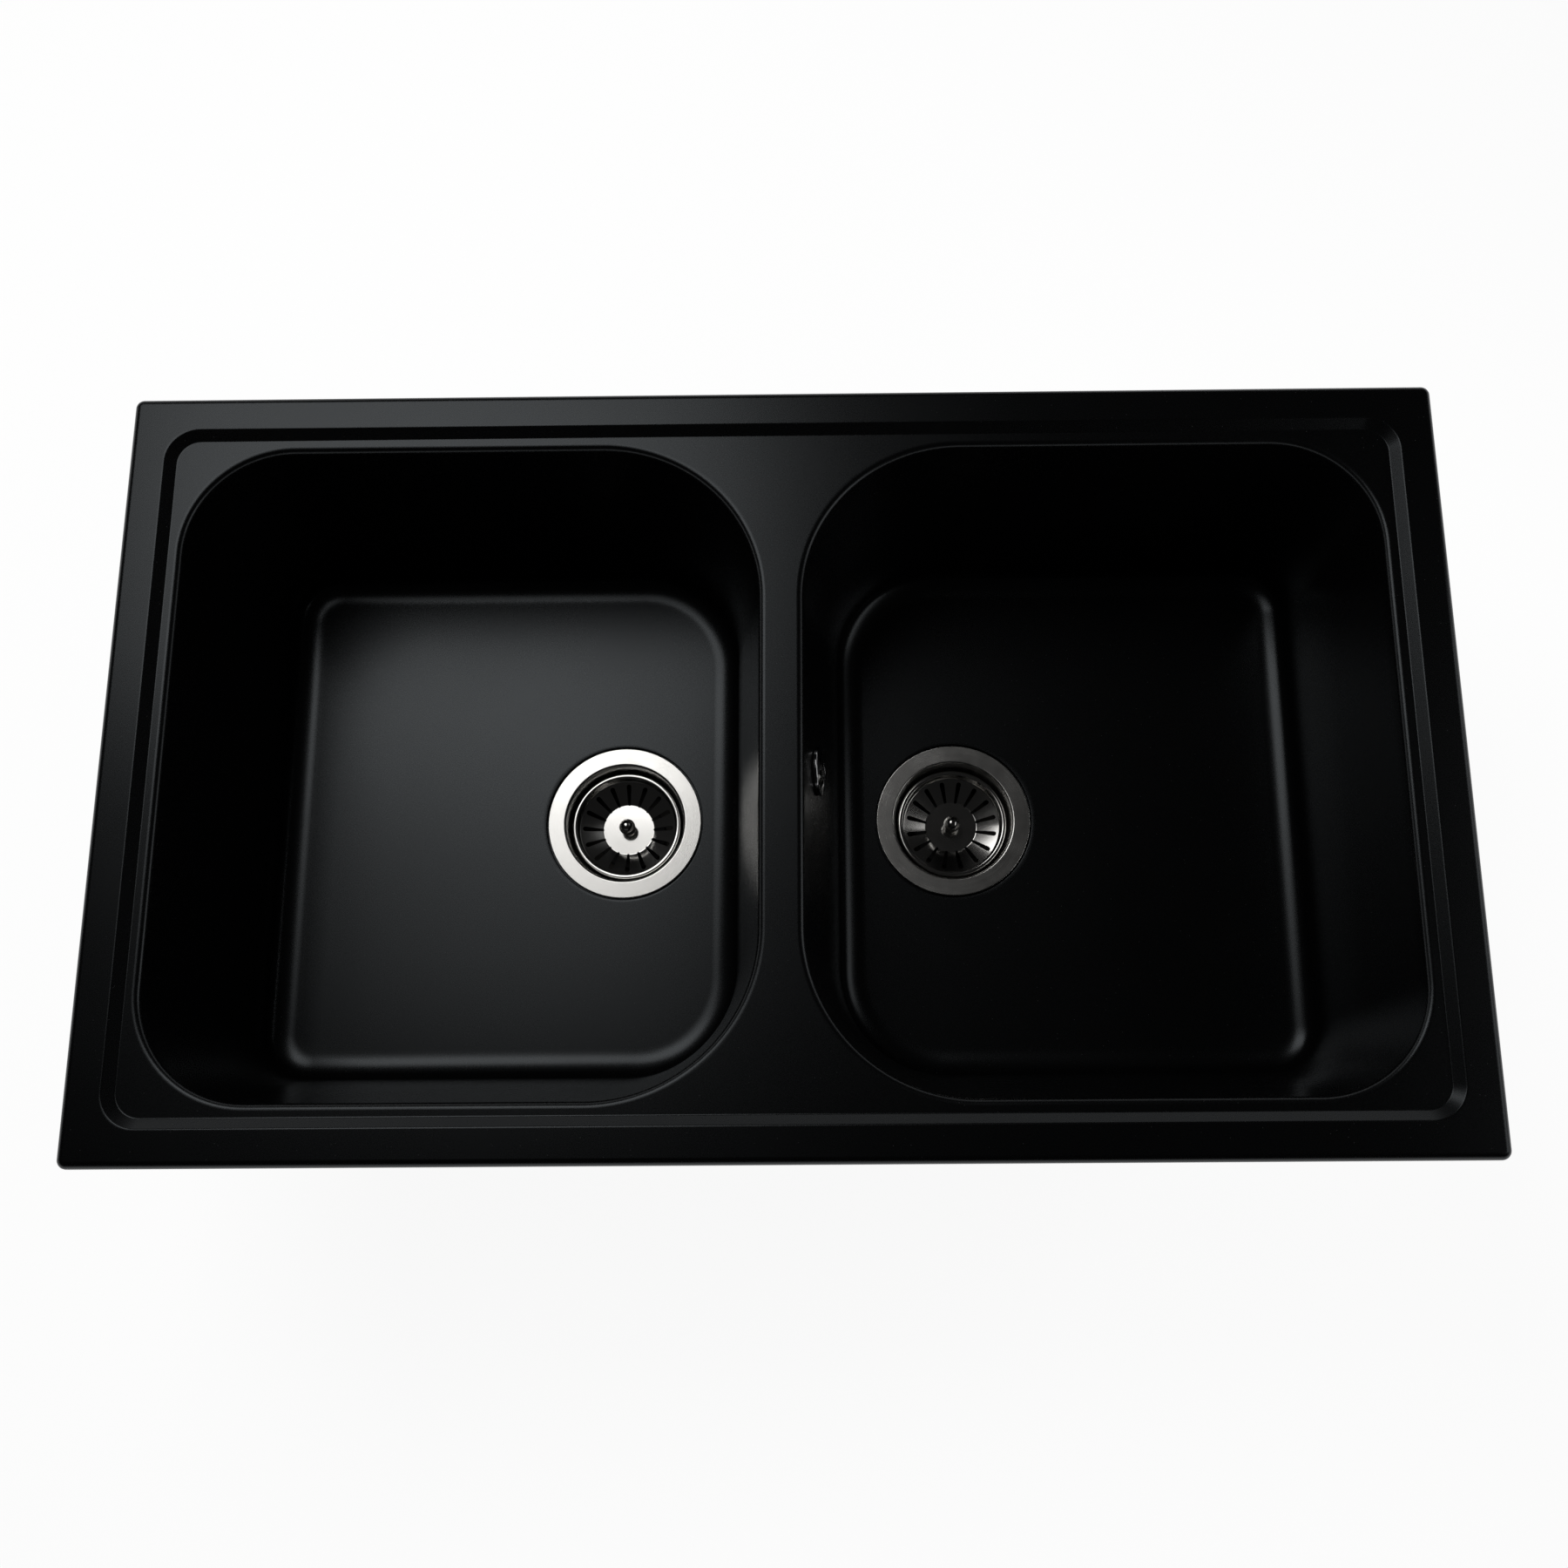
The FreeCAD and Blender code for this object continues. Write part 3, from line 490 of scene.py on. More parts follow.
def wasteCup(side):
    # a pressed sheet turned about the drain's axis, and a hub on four arms across its outlet
    sheet = waste["sheet"]
    shoulder = flangeTop - waste["shoulderDepth"]
    under = flangeTop - sheet
    foot = cupFloor - sheet
    neckEnd = cupFloor - waste["neck"]
    profile = roundedLine([
        (waste["flangeRadius"], flangeTop, waste["flangeRound"]),
        (waste["mouthRadius"], flangeTop, waste["mouthRound"]),
        (waste["shoulderRadius"], shoulder, waste["shoulderRound"]),
        (waste["footRadius"], cupFloor, waste["footRound"]),
        (waste["outletRadius"], cupFloor, sheet), (waste["outletRadius"], neckEnd),
        (waste["outletRadius"] + sheet, neckEnd), (waste["outletRadius"] + sheet, foot),
        (waste["footRadius"] + sheet, foot, waste["footRound"] + sheet),
        (waste["shoulderRadius"] + sheet, shoulder, waste["shoulderRound"] + sheet),
        (waste["mouthRadius"] + sheet, under), (waste["flangeRadius"], under),
    ])
    top = neckEnd + waste["armThickness"]
    reach = waste["outletRadius"] + sheet / 2
    sheets = [lathe(profile, waste["columns"])]
    sheets += hubOnArms(waste, waste["screwHole"], top, neckEnd, neckEnd, reach)
    mesh = gridMesh("wasteCup", [points + [side * drainX, 0, 0] for points in sheets])
    return makePiece(sideName(side) + "_waste_cup", "steel", mesh, "sink", 40)


basket = dict(
    hubRadius=19.2, hubDepth=24.5, hubRound=1.5, wallRadius=36.4, wallLean=0.9, wallDepth=17.9,
    wallRound=1.2, sheet=0.9, rimDepth=11.6, beadCentre=38.75, beadRadius=1.75, beadHeight=1.2,
    beadFlatness=0.5, slots=16, slotStart=19.6, slotEnd=34.0, slotStartWidth=2.0,
    slotEndWidth=3.5, rightTurn=11.25, studHole=3.05, knobRadius=6.0, knobHeight=16.5,
    neckRadius=4.2, footRadius=5.2, studRadius=3.0, studLength=8.0, columns=192,
)
hubTop = flangeTop - basket["hubDepth"]


def sideName(side):
    return "right" if side > 0 else "left"


def turnOf(degrees):
    return np.array(Matrix.Rotation(math.radians(degrees), 3, "Z"))


def wallOf(loop, low, high):
    # a closed column on a flat loop: its middle, the loop below, the loop above, its middle again
    middle = np.zeros_like(loop) + loop.mean(axis=0)
    rows = [(middle, low), (loop, low), (loop, high), (middle, high)]
    return np.stack([np.concatenate([flat, np.full((len(flat), 1), z)], axis=1) for flat, z in rows])


def slotLoop(turn):
    # a slot that widens outwards, each of its ends an arc through its own end point
    wide, narrow = basket["slotEndWidth"] / 2, basket["slotStartWidth"] / 2
    lean = np.linspace(-math.pi / 2, math.pi / 2, 9)
    outer = np.stack([basket["slotEnd"] - wide + wide * np.cos(lean), wide * np.sin(lean)], axis=1)
    inner = np.stack([basket["slotStart"] - narrow * np.cos(lean), -narrow * np.sin(lean)], axis=1)
    loop = np.concatenate([outer, inner])
    return loop @ turnOf(turn)[:2, :2].T


def basketPan(side):
    # a pressed sheet turned about the drain's axis with slots cut through its cone, and a rolled bead
    sheet = basket["sheet"]
    foot = flangeTop - basket["wallDepth"]
    rim = flangeTop - basket["rimDepth"]
    slope = (foot - hubTop) / (basket["wallRadius"] - basket["hubRadius"])
    outside = basket["wallRadius"] + sheet
    profile = roundedLine([
        (basket["studHole"], hubTop), (basket["hubRadius"], hubTop, basket["hubRound"]),
        (basket["wallRadius"], foot, basket["wallRound"]),
        (basket["wallRadius"] + basket["wallLean"], rim), (outside + basket["wallLean"], rim),
        (outside, foot - sheet * (1 - slope), basket["wallRound"] + sheet),
        (basket["hubRadius"], hubTop - sheet, basket["hubRound"] + sheet),
        (basket["studHole"], hubTop - sheet),
    ])
    turn = basket["rightTurn"] if side > 0 else 0.0
    step = 360 / basket["slots"]
    turns = [turn + index * step for index in range(basket["slots"])]
    cutters = [wallOf(slotLoop(angle), hubTop - 4, rim + 1) for angle in turns]
    pan = cutShape(gridMesh("pan", [lathe(profile, basket["columns"])]), cutters)
    lean = roundRow(40)
    upright = np.sign(np.sin(lean)) * np.abs(np.sin(lean)) ** basket["beadFlatness"]
    radii = basket["beadCentre"] + basket["beadRadius"] * np.cos(lean)
    bead = np.stack([radii, rim + basket["beadHeight"] * upright], axis=1)
    mesh = joinMeshes("pan", [pan, gridMesh("bead", [lathe(bead, basket["columns"])])])
    mesh.transform(Matrix.Translation((side * drainX * mm, 0, 0)))
    body = sideName(side) + "_basket"
    return makePiece(body + "_pan", "steel", mesh, body, 30)


def basketKnob(side):
    # a ball on a neck that spreads a little where it stands on the hub
    radius = basket["knobRadius"]
    middle = hubTop + basket["knobHeight"] - radius
    meet = math.asin(basket["neckRadius"] / radius) * 1.12
    lean = np.linspace(0.0, math.pi - meet, 30)
    ball = np.stack([radius * np.sin(lean), middle + radius * np.cos(lean)], axis=1)
    share = np.linspace(0, 1, 14)[1:]
    start = ball[-1]
    height = start[1] + (hubTop - start[1]) * share
    waist = basket["neckRadius"] + (start[0] - basket["neckRadius"]) * (1 - share) ** 3
    spread = waist + (basket["footRadius"] - basket["neckRadius"]) * share ** 6
    neck = np.stack([spread, height], axis=1)
    end = hubTop - basket["studLength"]
    stud = np.array([(basket["studRadius"], hubTop - 0.02), (basket["studRadius"], end), (0.0, end)])
    profile = np.concatenate([ball, neck, stud])
    mesh = gridMesh("knob", [lathe(profile, 96, (side * drainX, 0.0), closed=False)])
    body = sideName(side) + "_basket"
    return makePiece(body + "_knob", "polished", mesh, body, 40)


rosette = dict(
    seat=1.0, radius=16.5, edge=2.0, edgeRound=1.0, dome=1.6, flatRadius=9.0, flatRound=16.0,
    holeRadius=2.2, holeCircle=10.5, holes=8, clearance=0.3, screwRadius=2.5, headRadius=4.5,
    headHeight=2.2, headDome=0.35, headEdge=0.7, domeShare=0.93, slotWidth=1.2, slotDepth=1.1,
    shankEnd=26.0,
)


def overflowRosette():
    # a shallow dome with a ring of holes and a sunk seat for its screw
    low = rosette["seat"]
    edgeTop = low + rosette["edge"]
    top = edgeTop + rosette["dome"]
    seatRadius = rosette["headRadius"] + rosette["clearance"]
    bore = rosette["screwRadius"] + rosette["clearance"]
    profile = roundedLine([
        (bore, low), (rosette["radius"], low), (rosette["radius"], edgeTop, rosette["edgeRound"]),
        (rosette["flatRadius"], top, rosette["flatRound"]), (seatRadius, top, 0.25),
        (seatRadius, top - rosette["headHeight"]), (bore, top - rosette["headHeight"]),
    ])
    turn = roundRow(24)
    loop = np.stack([np.cos(turn), np.sin(turn)], axis=1) * rosette["holeRadius"]
    loop += [rosette["holeCircle"], 0.0]
    turns = [(index + 0.5) * 360 / rosette["holes"] for index in range(rosette["holes"])]
    cutters = [wallOf(loop @ turnOf(angle)[:2, :2].T, -1.0, top + 1) for angle in turns]
    mesh = cutShape(gridMesh("rosette", [lathe(profile, 96)]), cutters)
    placeMesh(mesh)
    return makePiece("overflow_rosette", "chrome", mesh, "sink", 30)


def overflowScrew():
    # a low domed head with one slot, and its shank
    top = rosette["seat"] + rosette["edge"] + rosette["dome"]
    seat = top - rosette["headHeight"]
    share = np.linspace(0, 1, 7)
    radii = rosette["headRadius"] * rosette["domeShare"] * share
    dome = np.stack([radii, top - rosette["headDome"] * share ** 2], axis=1)
    rest = np.array([
        (rosette["headRadius"], top - rosette["headEdge"]), (rosette["headRadius"], seat),
        (rosette["screwRadius"], seat), (rosette["screwRadius"], -rosette["shankEnd"]),
        (0.0, -rosette["shankEnd"]),
    ])
    mesh = gridMesh("screw", [lathe(np.concatenate([dome, rest]), 48, closed=False)])
    half = rosette["slotWidth"] / 2
    reach = rosette["headRadius"] + 1
    loop = np.array([(-reach, -half), (reach, -half), (reach, half), (-reach, half)])
    mesh = cutShape(mesh, [wallOf(loop, top - rosette["slotDepth"], top + 1)])
    placeMesh(mesh)
    return makePiece("overflow_screw", "chrome", mesh, "sink", 30)


def placeMesh(mesh):
    place, axes = overflowFrame()
    mesh.transform(Matrix.Translation(place * mm) @ Matrix(axes.tolist()).to_4x4())


hose = dict(
    radius=10.45, groove=1.1, pitch=3.6, rowsPerPitch=8, bore=8.0,
    wallThrough=sink["wall"] * math.cos(math.radians(sink["sideDraft"])), spigotSetback=16.0,
    spigotReach=29.0, inletDrop=17.4, throatOuter=27.0, inletLength=16.0, bendRadius=43.7,
    plainEnd=9.0,
)


def hoseLine():
    # the hose's middle: straight out of the elbow, one bend, and straight into the waste's inlet
    place, axes = overflowFrame()
    setback = hose["wallThrough"] + hose["spigotSetback"]
    start = place + axes @ np.array([hose["spigotReach"], 0.0, -setback])
    down = axes[:, 0]
    level = cupFloor + housing["floor"] - hose["inletDrop"]
    corner = start + down * (start[2] - level) / -down[2]
    axis = np.array([drainX, 0.0, level])
    end = axis + unit(corner - axis) * (hose["throatOuter"] + hose["inletLength"])
    return start, corner, end


def overflowHose():
    # a ring carried along the line: straight, round one arc, and straight again
    start, corner, end = hoseLine()
    first, last = unit(start - corner), unit(end - corner)
    halfAngle = math.acos(first @ last) / 2
    radius = hose["bendRadius"]
    cutBack = radius / math.tan(halfAngle)
    swing = math.pi - 2 * halfAngle
    runs = [np.linalg.norm(start - corner) - cutBack, radius * swing]
    runs.append(np.linalg.norm(end - corner) - cutBack)
    total = sum(runs)
    rows = int(total / hose["pitch"] * hose["rowsPerPitch"])
    along = np.linspace(0, total, rows)
    turned = np.clip((along - runs[0]) / radius, 0, swing)
    side = unit(last - first * (first @ last))
    cosine, sine = np.cos(turned)[:, None], np.sin(turned)[:, None]
    ahead = sine * side - cosine * first
    arcStart = corner + first * cutBack
    onArc = radius * ((1 - cosine) * side - sine * first)
    straight = np.minimum(along, runs[0]) - runs[0]
    beyond = np.maximum(along - runs[0] - runs[1], 0.0)
    middle = arcStart + onArc + straight[:, None] * -first + beyond[:, None] * ahead
    across = np.cross(first, side)
    inward = np.cross(across, ahead)
    # round crests with narrower valleys between them, fading out to a plain cuff at each end
    wave = np.abs(np.sin(math.pi * along / hose["pitch"])) ** 0.7
    fade = np.clip((np.minimum(along, total - along) - hose["plainEnd"]) / 2.0, 0, 1)
    outside = hose["radius"] - hose["groove"] * fade * (1 - wave)
    turn = roundRow(40)

    def tube(size):
        down, aside = np.cos(turn)[:, None], np.sin(turn)[:, None]
        ring = down * inward[:, None, :] + aside * across
        return middle[:, None, :] + size[:, None, None] * ring

    outer = tube(outside)
    inner = tube(np.full(rows, hose["bore"]))[::-1]
    mesh = gridMesh("hose", [np.concatenate([outer, inner, outer[:1]])])
    return makePiece("overflow_hose", "ribbed", mesh, "sink", 60)


housing = dict(
    mouthRadius=46.0, rimRadius=55.0, rimThickness=4.0, wall=3.0, footRadius=42.5, footRound=5.0,
    edgeRound=1.0, lipRound=0.8, top=-2.0, floor=-3.0, throatRadius=23.5, throatWall=3.5,
    throatLength=27.4, threadRadius=23.85, threadDepth=1.3, threadPitch=2.31, threadStart=2.0,
    threadEnd=0.8, threadFade=1.6, threadSunk=0.05, boreRadius=19.5, outletLength=24.0,
    hubRadius=7.0, hubHeight=8.0, hubRound=0.5, hubBore=4.5, hubGap=2.4, armWidth=3.5,
    armHeight=4.0, armOverlap=0.4, gussets=20, gussetThickness=1.8, gussetDepth=16.0,
    inletRadius=10.45, inletBore=8.0, inletEnd=17.0, columns=144,
)


def outletThread(root, first, last):
    # the thread's radius follows a rounded wave of the height less the share of a turn, and sinks
    # into the pipe at both ends; two rows inside the pipe close it
    rise = np.linspace(first, last, 130)[:, None]
    turn = roundRow(housing["columns"])
    wave = 0.5 + 0.5 * np.cos(2 * math.pi * rise / housing["threadPitch"] - turn)
    fade = np.clip(np.minimum(first - rise, rise - last) / housing["threadFade"], 0, 1)
    sunk = housing["threadSunk"]
    radius = root - sunk + (housing["threadDepth"] + sunk) * fade * wave ** 1.4
    thread = [radius * np.cos(turn), radius * np.sin(turn), rise * np.ones_like(turn)]
    thread = np.stack(thread, axis=-1)
    return np.concatenate([thread, thread[[-1, 0]] * [0.95, 0.95, 1], thread[:1]])


def gussets(rimUnder):
    # upright plates in planes through the axis
    inner, outer = housing["mouthRadius"] + 1.5, housing["rimRadius"] - 0.8
    plate = np.array([
        (inner, rimUnder + 0.5), (outer, rimUnder + 0.5), (outer, rimUnder - 1.2),
        (inner - 0.8, rimUnder - housing["gussetDepth"]),
    ])
    half = housing["gussetThickness"] / 2
    upright = wallOf(plate, -half, half)[..., [0, 2, 1]]
    count = housing["gussets"]
    return [upright @ turnOf((number + 0.5) * 360 / count).T for number in range(count)]


def hoseInlet():
    # a pipe that points at the hose's end from the throat
    _, corner, end = hoseLine()
    ahead = unit(end - np.array([drainX, 0.0, corner[2]]))
    bore, outside, length = housing["inletBore"], housing["inletRadius"], housing["inletEnd"]
    pipe = lathe([(bore, 0.0), (outside, 0.0), (outside, length), (bore, length)], 48)
    turned = np.stack([np.cross(ahead, [0, 0, 1.0]), [0, 0, 1.0], -ahead], axis=1)
    return pipe @ turned.T + end - [drainX, 0, 0]


def wasteHousing(side):
    # a moulded bowl under the sink with a threaded outlet, gussets under its rim and, on the
    # right, an inlet for the overflow's hose
    wall, foot = housing["wall"], housing["footRadius"]
    top = bossUnder + housing["top"]
    rimUnder = top - housing["rimThickness"]
    floor = cupFloor + housing["floor"]
    under = floor - wall
    throatFloor = floor - housing["throatLength"]
    throatEnd = throatFloor - wall
    throatOuter = housing["throatRadius"] + housing["throatWall"]
    end = throatEnd - housing["outletLength"]
    root = housing["threadRadius"] - housing["threadDepth"]
    lip, small = housing["lipRound"], housing["hubRound"]
    profile = roundedLine([
        (housing["mouthRadius"], top), (housing["rimRadius"], top, small),
        (housing["rimRadius"], rimUnder, lip),
        (housing["mouthRadius"] + wall, rimUnder, housing["edgeRound"]),
        (foot + wall, under, housing["footRound"] + wall),
        (throatOuter, under, housing["edgeRound"]), (throatOuter, throatEnd, lip),
        (root, throatEnd), (root, end, small), (housing["boreRadius"], end, small),
        (housing["boreRadius"], throatFloor), (housing["throatRadius"], throatFloor, lip),
        (housing["throatRadius"], floor, housing["edgeRound"]),
        (foot, floor, housing["footRound"]),
    ])
    sheets = [lathe(profile, housing["columns"])]

    sheets.append(outletThread(root, throatEnd - housing["threadStart"], end + housing["threadEnd"]))
    sheets += gussets(rimUnder)
    hubTopHere = cupFloor - waste["neck"] - housing["hubGap"]
    hubEnd, armEnd = hubTopHere - housing["hubHeight"], hubTopHere - housing["armHeight"]
    reach = housing["throatRadius"] + 1.0
    sheets += hubOnArms(housing, housing["hubBore"], hubTopHere, hubEnd, armEnd, reach)

    if side > 0:
        sheets.append(hoseInlet())
    mesh = gridMesh("wasteHousing", sheets)
    mesh.transform(Matrix.Translation((side * drainX * mm, 0, 0)))
    return makePiece(sideName(side) + "_waste_body", "moulding", mesh, "sink")


cups = [wasteCup(side) for side in (-1, 1)]
pans = [basketPan(side) for side in (-1, 1)]
knobs = [basketKnob(side) for side in (-1, 1)]
print("strainers:", sum(len(piece.data.polygons) for piece in cups + pans + knobs), "faces")
rosettePieces = [overflowRosette(), overflowScrew()]
hosePiece = overflowHose()
housings = [wasteHousing(side) for side in (-1, 1)]
print("overflow:", sum(len(piece.data.polygons) for piece in rosettePieces + [hosePiece]), "faces")


class Wire:
    # one output of a node; an expression on such outputs adds its Math nodes
    def __init__(self, tree, socket=None):
        self.tree = tree
        self.socket = socket

    def node(self, kind, inputs=None, settings=None, output=0):
        # inputs are the values or links of its sockets; settings are set before them
        made = self.tree.nodes.new("ShaderNode" + kind)
        for name, value in (settings or {}).items():
            setattr(made, name, value)
        for name, value in (inputs or {}).items():
            if isinstance(value, Wire):
                self.tree.links.new(value.socket, made.inputs[name])
            else:
                made.inputs[name].default_value = value
        return Wire(self.tree, made.outputs[output] if made.outputs else None)

    def out(self, name):
        return Wire(self.tree, self.socket.node.outputs[name])

    def math(self, operation, *values):
        return self.node("Math", dict(enumerate(values)), {"operation": operation})

    def smooth(self, low, high, start=0.0, end=1.0):
        # a soft step from start to end as the value goes from low to high
        return self.node(
            "MapRange",
            {"Value": self, "From Min": low, "From Max": high, "To Min": start, "To Max": end},
            {"interpolation_type": "SMOOTHSTEP"},
        )


def addOperator(name, operation):
    # the operator, and its reflected form for a number on its left
    setattr(Wire, "__" + name + "__", lambda self, other: self.math(operation, self, other))
    setattr(Wire, "__r" + name + "__", lambda self, other: self.math(operation, other, self))


for words in ("add ADD", "sub SUBTRACT", "mul MULTIPLY", "truediv DIVIDE"):
    addOperator(*words.split())


def emptyTree(owner):
    # the nodes of a material or a world, with none in them yet
    owner.use_nodes = True
    owner.node_tree.nodes.clear()
    return Wire(owner.node_tree)


def newMaterial(name):
    material = bpy.data.materials.new(name)
    return material, emptyTree(material)


def finishMaterial(paint, shader, bump, color, roughness):
    # shader holds what is the same all over the surface, and the rest changes over it
    inputs = {**shader, "Normal": bump, "Base Color": color, "Roughness": roughness}
    surface = paint.node("BsdfPrincipled", inputs)
    paint.node("OutputMaterial", {"Surface": surface})


def objectPlace(paint):
    return paint.node("TexCoord").out("Object")


def noise(place, scale, detail):
    return place.node("TexNoise", {"Vector": place, "Scale": scale, "Detail": detail})


def cellsOf(place, scale):
    return place.node("TexVoronoi", {"Vector": place, "Scale": scale})


def cellTone(cells):
    # a number from 0 to 1 that is the same all over a cell
    return cells.node("SeparateColor", {"Color": cells.out("Color")})


def bumpOf(height, distance):
    return height.node("Bump", {"Height": height, "Distance": distance * mm})


def blendColors(factor, first, second):
    # a colour is three numbers or a link
    def whole(color):
        return (*color, 1.0) if isinstance(color, tuple) else color

    inputs = {"Factor": factor, 6: whole(first), 7: whole(second)}
    return factor.node("Mix", inputs, {"data_type": "RGBA"}, output=2)


composite = dict(
    dark=(0.0026, 0.0027, 0.0029), light=(0.0044, 0.0045, 0.0048), speck=(0.11, 0.112, 0.115),
    roughness=0.275, roughnessSpread=0.04, grainRoughness=0.04, specular=0.375,
    sheen=(0.90, 0.96, 1.0, 1.0), grainSize=0.9, grainEdges=(0.35, 0.65), grainHeight=0.004,
    cloudScale=14.0, speckSpacing=3.3, speckRadius=0.24, speckShare=0.35, speckCore=0.6,
)


def compositeMaterial():
    # fine quartz grain in dark resin, with a few small light specks
    material, paint = newMaterial("composite")
    place = objectPlace(paint)
    grain = noise(place, 1 / (composite["grainSize"] * mm), 3.0)
    broad = noise(place, composite["cloudScale"], 4.0)
    cells = cellsOf(place, 1 / (composite["speckSpacing"] * mm))
    size = composite["speckRadius"] / composite["speckSpacing"]
    chosen = paint.math("LESS_THAN", cellTone(cells), composite["speckShare"])
    speck = cells.out("Distance").smooth(size * composite["speckCore"], size, 1.0, 0.0) * chosen
    color = blendColors(grain.smooth(*composite["grainEdges"]), composite["dark"], composite["light"])
    color = blendColors(speck, color, composite["speck"])
    spread = (broad - 0.5) * composite["roughnessSpread"] + (grain - 0.5) * composite["grainRoughness"]
    shader = {"Specular IOR Level": composite["specular"], "Specular Tint": composite["sheen"]}
    bump = bumpOf(grain, composite["grainHeight"])
    finishMaterial(paint, shader, bump, color, spread + composite["roughness"])
    return material


steel = dict(
    # the dark colour below the basket's hub, and the depths where it starts and where it is full, are
    # painted shade under the basket
    ringPitch=0.16, ringSweep=1.5, ringStep=0.4, smearScale=60.0, paintedShadeColor=(0.045, 0.043, 0.040),
    paintedShadeStart=1.5, paintedShadeReach=6.0, belowHubRoughness=0.25,
)
steelFinishes = {
    # name: dark, light, roughness, ring height in mm, how much the rings change the roughness
    "flangeSteel": ((0.56, 0.55, 0.53), (0.68, 0.67, 0.645), 0.25, 0.006, 0.10),
    "basketSteel": ((0.54, 0.53, 0.51), (0.62, 0.61, 0.59), 0.13, 0.0006, 0.04),
    "knobSteel": ((0.54, 0.53, 0.51), (0.62, 0.61, 0.59), 0.06, 0.0004, 0.03),
}


def spunSteel(name):
    # fine turned rings about the nearer drain's axis, and faint broad smears from handling, with painted
    # shade below the basket's hub
    dark, light, roughness, ringHeight, ringRoughness = steelFinishes[name]
    material, paint = newMaterial(name)
    place = objectPlace(paint)
    parts = paint.node("SeparateXYZ", {"Vector": place})
    x = paint.math("ABSOLUTE", parts.out("X")) - drainX * mm
    y, height = parts.out("Y"), parts.out("Z")
    radius, angle = paint.math("SQRT", x * x + y * y), paint.math("ARCTAN2", y, x)
    across = {
        "X": radius / (steel["ringPitch"] * mm),
        "Y": angle * steel["ringSweep"],
        "Z": height / (steel["ringStep"] * mm),
    }
    rings = noise(paint.node("CombineXYZ", across), 1.0, 3.0)
    smear = noise(place, steel["smearScale"], 3.0)
    color = blendColors(rings * 0.5 + smear * 0.5, dark, light)
    # below the basket's hub the steel is made dull, and its colour is darkened as painted shade for the
    # shade under the basket
    unshaded = height.smooth((hubTop - steel["paintedShadeReach"]) * mm, (hubTop - steel["paintedShadeStart"]) * mm)
    color = blendColors(unshaded, steel["paintedShadeColor"], color)
    spread = (rings + smear - 1.0) * ringRoughness + (unshaded - 1.0) * -steel["belowHubRoughness"]
    finishMaterial(paint, {"Metallic": 1.0}, bumpOf(rings, ringHeight), color, spread + roughness)
    return material


soft = {"broad": (30.0, 4.0), "tone": (0.5, 0.5)}
plainFinishes = {
    # fine and broad are the scale per metre and the detail of two noises, tone how much each of them
    # leads from the first colour to the second, and rough the least roughness and what each adds;
    # patch sharpens the broad one, crystals stand in for it, and pores stand in for the fine one
    "compositeUnder": dict(
        colors=((0.011, 0.0112, 0.012), (0.030, 0.030, 0.031)), fine=(420.0, 5.0), broad=(9.0, 5.0),
        patch=(0.35, 0.7), tone=(0.3, 0.7), height=0.25, lumpy=True, rough=(0.55, 0.1, 0.2),
    ),
    "rosetteChrome": dict(
        colors=((0.60, 0.60, 0.61), (0.68, 0.68, 0.69)), fine=(220.0, 3.0), broad=(30.0, 3.0),
        tone=(1.0, 0.0), height=0.01, rough=(0.05, 0.06, 0.0), metallic=1.0,
    ),
    "zincSteel": dict(
        colors=((0.42, 0.43, 0.45), (0.58, 0.59, 0.61)), fine=(900.0, 4.0), crystals=600.0,
        tone=(0.4, 0.6), height=0.02, rough=(0.25, 0.1, 0.12), metallic=1.0,
    ),
    "turnedBrass": dict(
        colors=((0.62, 0.44, 0.17), (0.40, 0.26, 0.09)), fine=(1500.0, 2.0), broad=(140.0, 4.0),
        patch=(0.35, 0.75), tone=(0.0, 1.0), height=0.015, rough=(0.2, 0.1, 0.15), metallic=1.0,
    ),
    "sealRubber": dict(
        soft, colors=((0.017, 0.017, 0.018), (0.032, 0.032, 0.033)), fine=(900.0, 3.0),
        height=0.03, rough=(0.445, 0.12, 0.15), specular=0.4,
    ),
    "foamTape": dict(
        soft, colors=((0.030, 0.030, 0.032), (0.085, 0.085, 0.088)), fine=(1400.0, 3.0), pores=1400.0,
        height=0.18, rough=(0.715, 0.12, 0.15), specular=0.25,
    ),
    "wastePlastic": dict(
        soft, colors=((0.018, 0.018, 0.020), (0.030, 0.030, 0.032)), fine=(700.0, 3.0),
        height=0.03, rough=(0.265, 0.12, 0.15), specular=0.5,
    ),
    "hosePlastic": dict(
        soft, colors=((0.50, 0.50, 0.48), (0.62, 0.62, 0.60)), fine=(300.0, 3.0),
        height=0.02, rough=(0.285, 0.12, 0.15), specular=0.5,
    ),
    "plugPlastic": dict(
        soft, colors=((0.46, 0.46, 0.43), (0.58, 0.58, 0.55)), fine=(800.0, 3.0),
        height=0.03, rough=(0.315, 0.12, 0.15), specular=0.45,
    ),
}


def plainMaterial(name):
    # one fine and one broad pattern, which share out the colour, the bump and the roughness
    values = plainFinishes[name]
    material, paint = newMaterial(name)
    place = objectPlace(paint)
    fine = skin = noise(place, *values["fine"])
    if "pores" in values:
        skin = cellsOf(place, values["pores"]).out("Distance")
    if "crystals" in values:
        broad = cellTone(cellsOf(place, values["crystals"]))
    else:
        broad = noise(place, *values["broad"])
    patch = broad.smooth(*values["patch"]) if "patch" in values else broad
    fineTone, broadTone = values["tone"]
    color = blendColors(skin * fineTone + patch * broadTone, *values["colors"])
    bump = bumpOf(skin + broad if "lumpy" in values else skin, values["height"])
    base, fineRough, broadRough = values["rough"]
    roughness = fine * fineRough + broad * broadRough + base
    shader = {"Specular IOR Level": values.get("specular", 0.5), "Metallic": values.get("metallic", 0.0)}
    finishMaterial(paint, shader, bump, color, roughness)
    return material


def bothSides(*names):
    return [side + "_" + name for name in names for side in ("left", "right")]


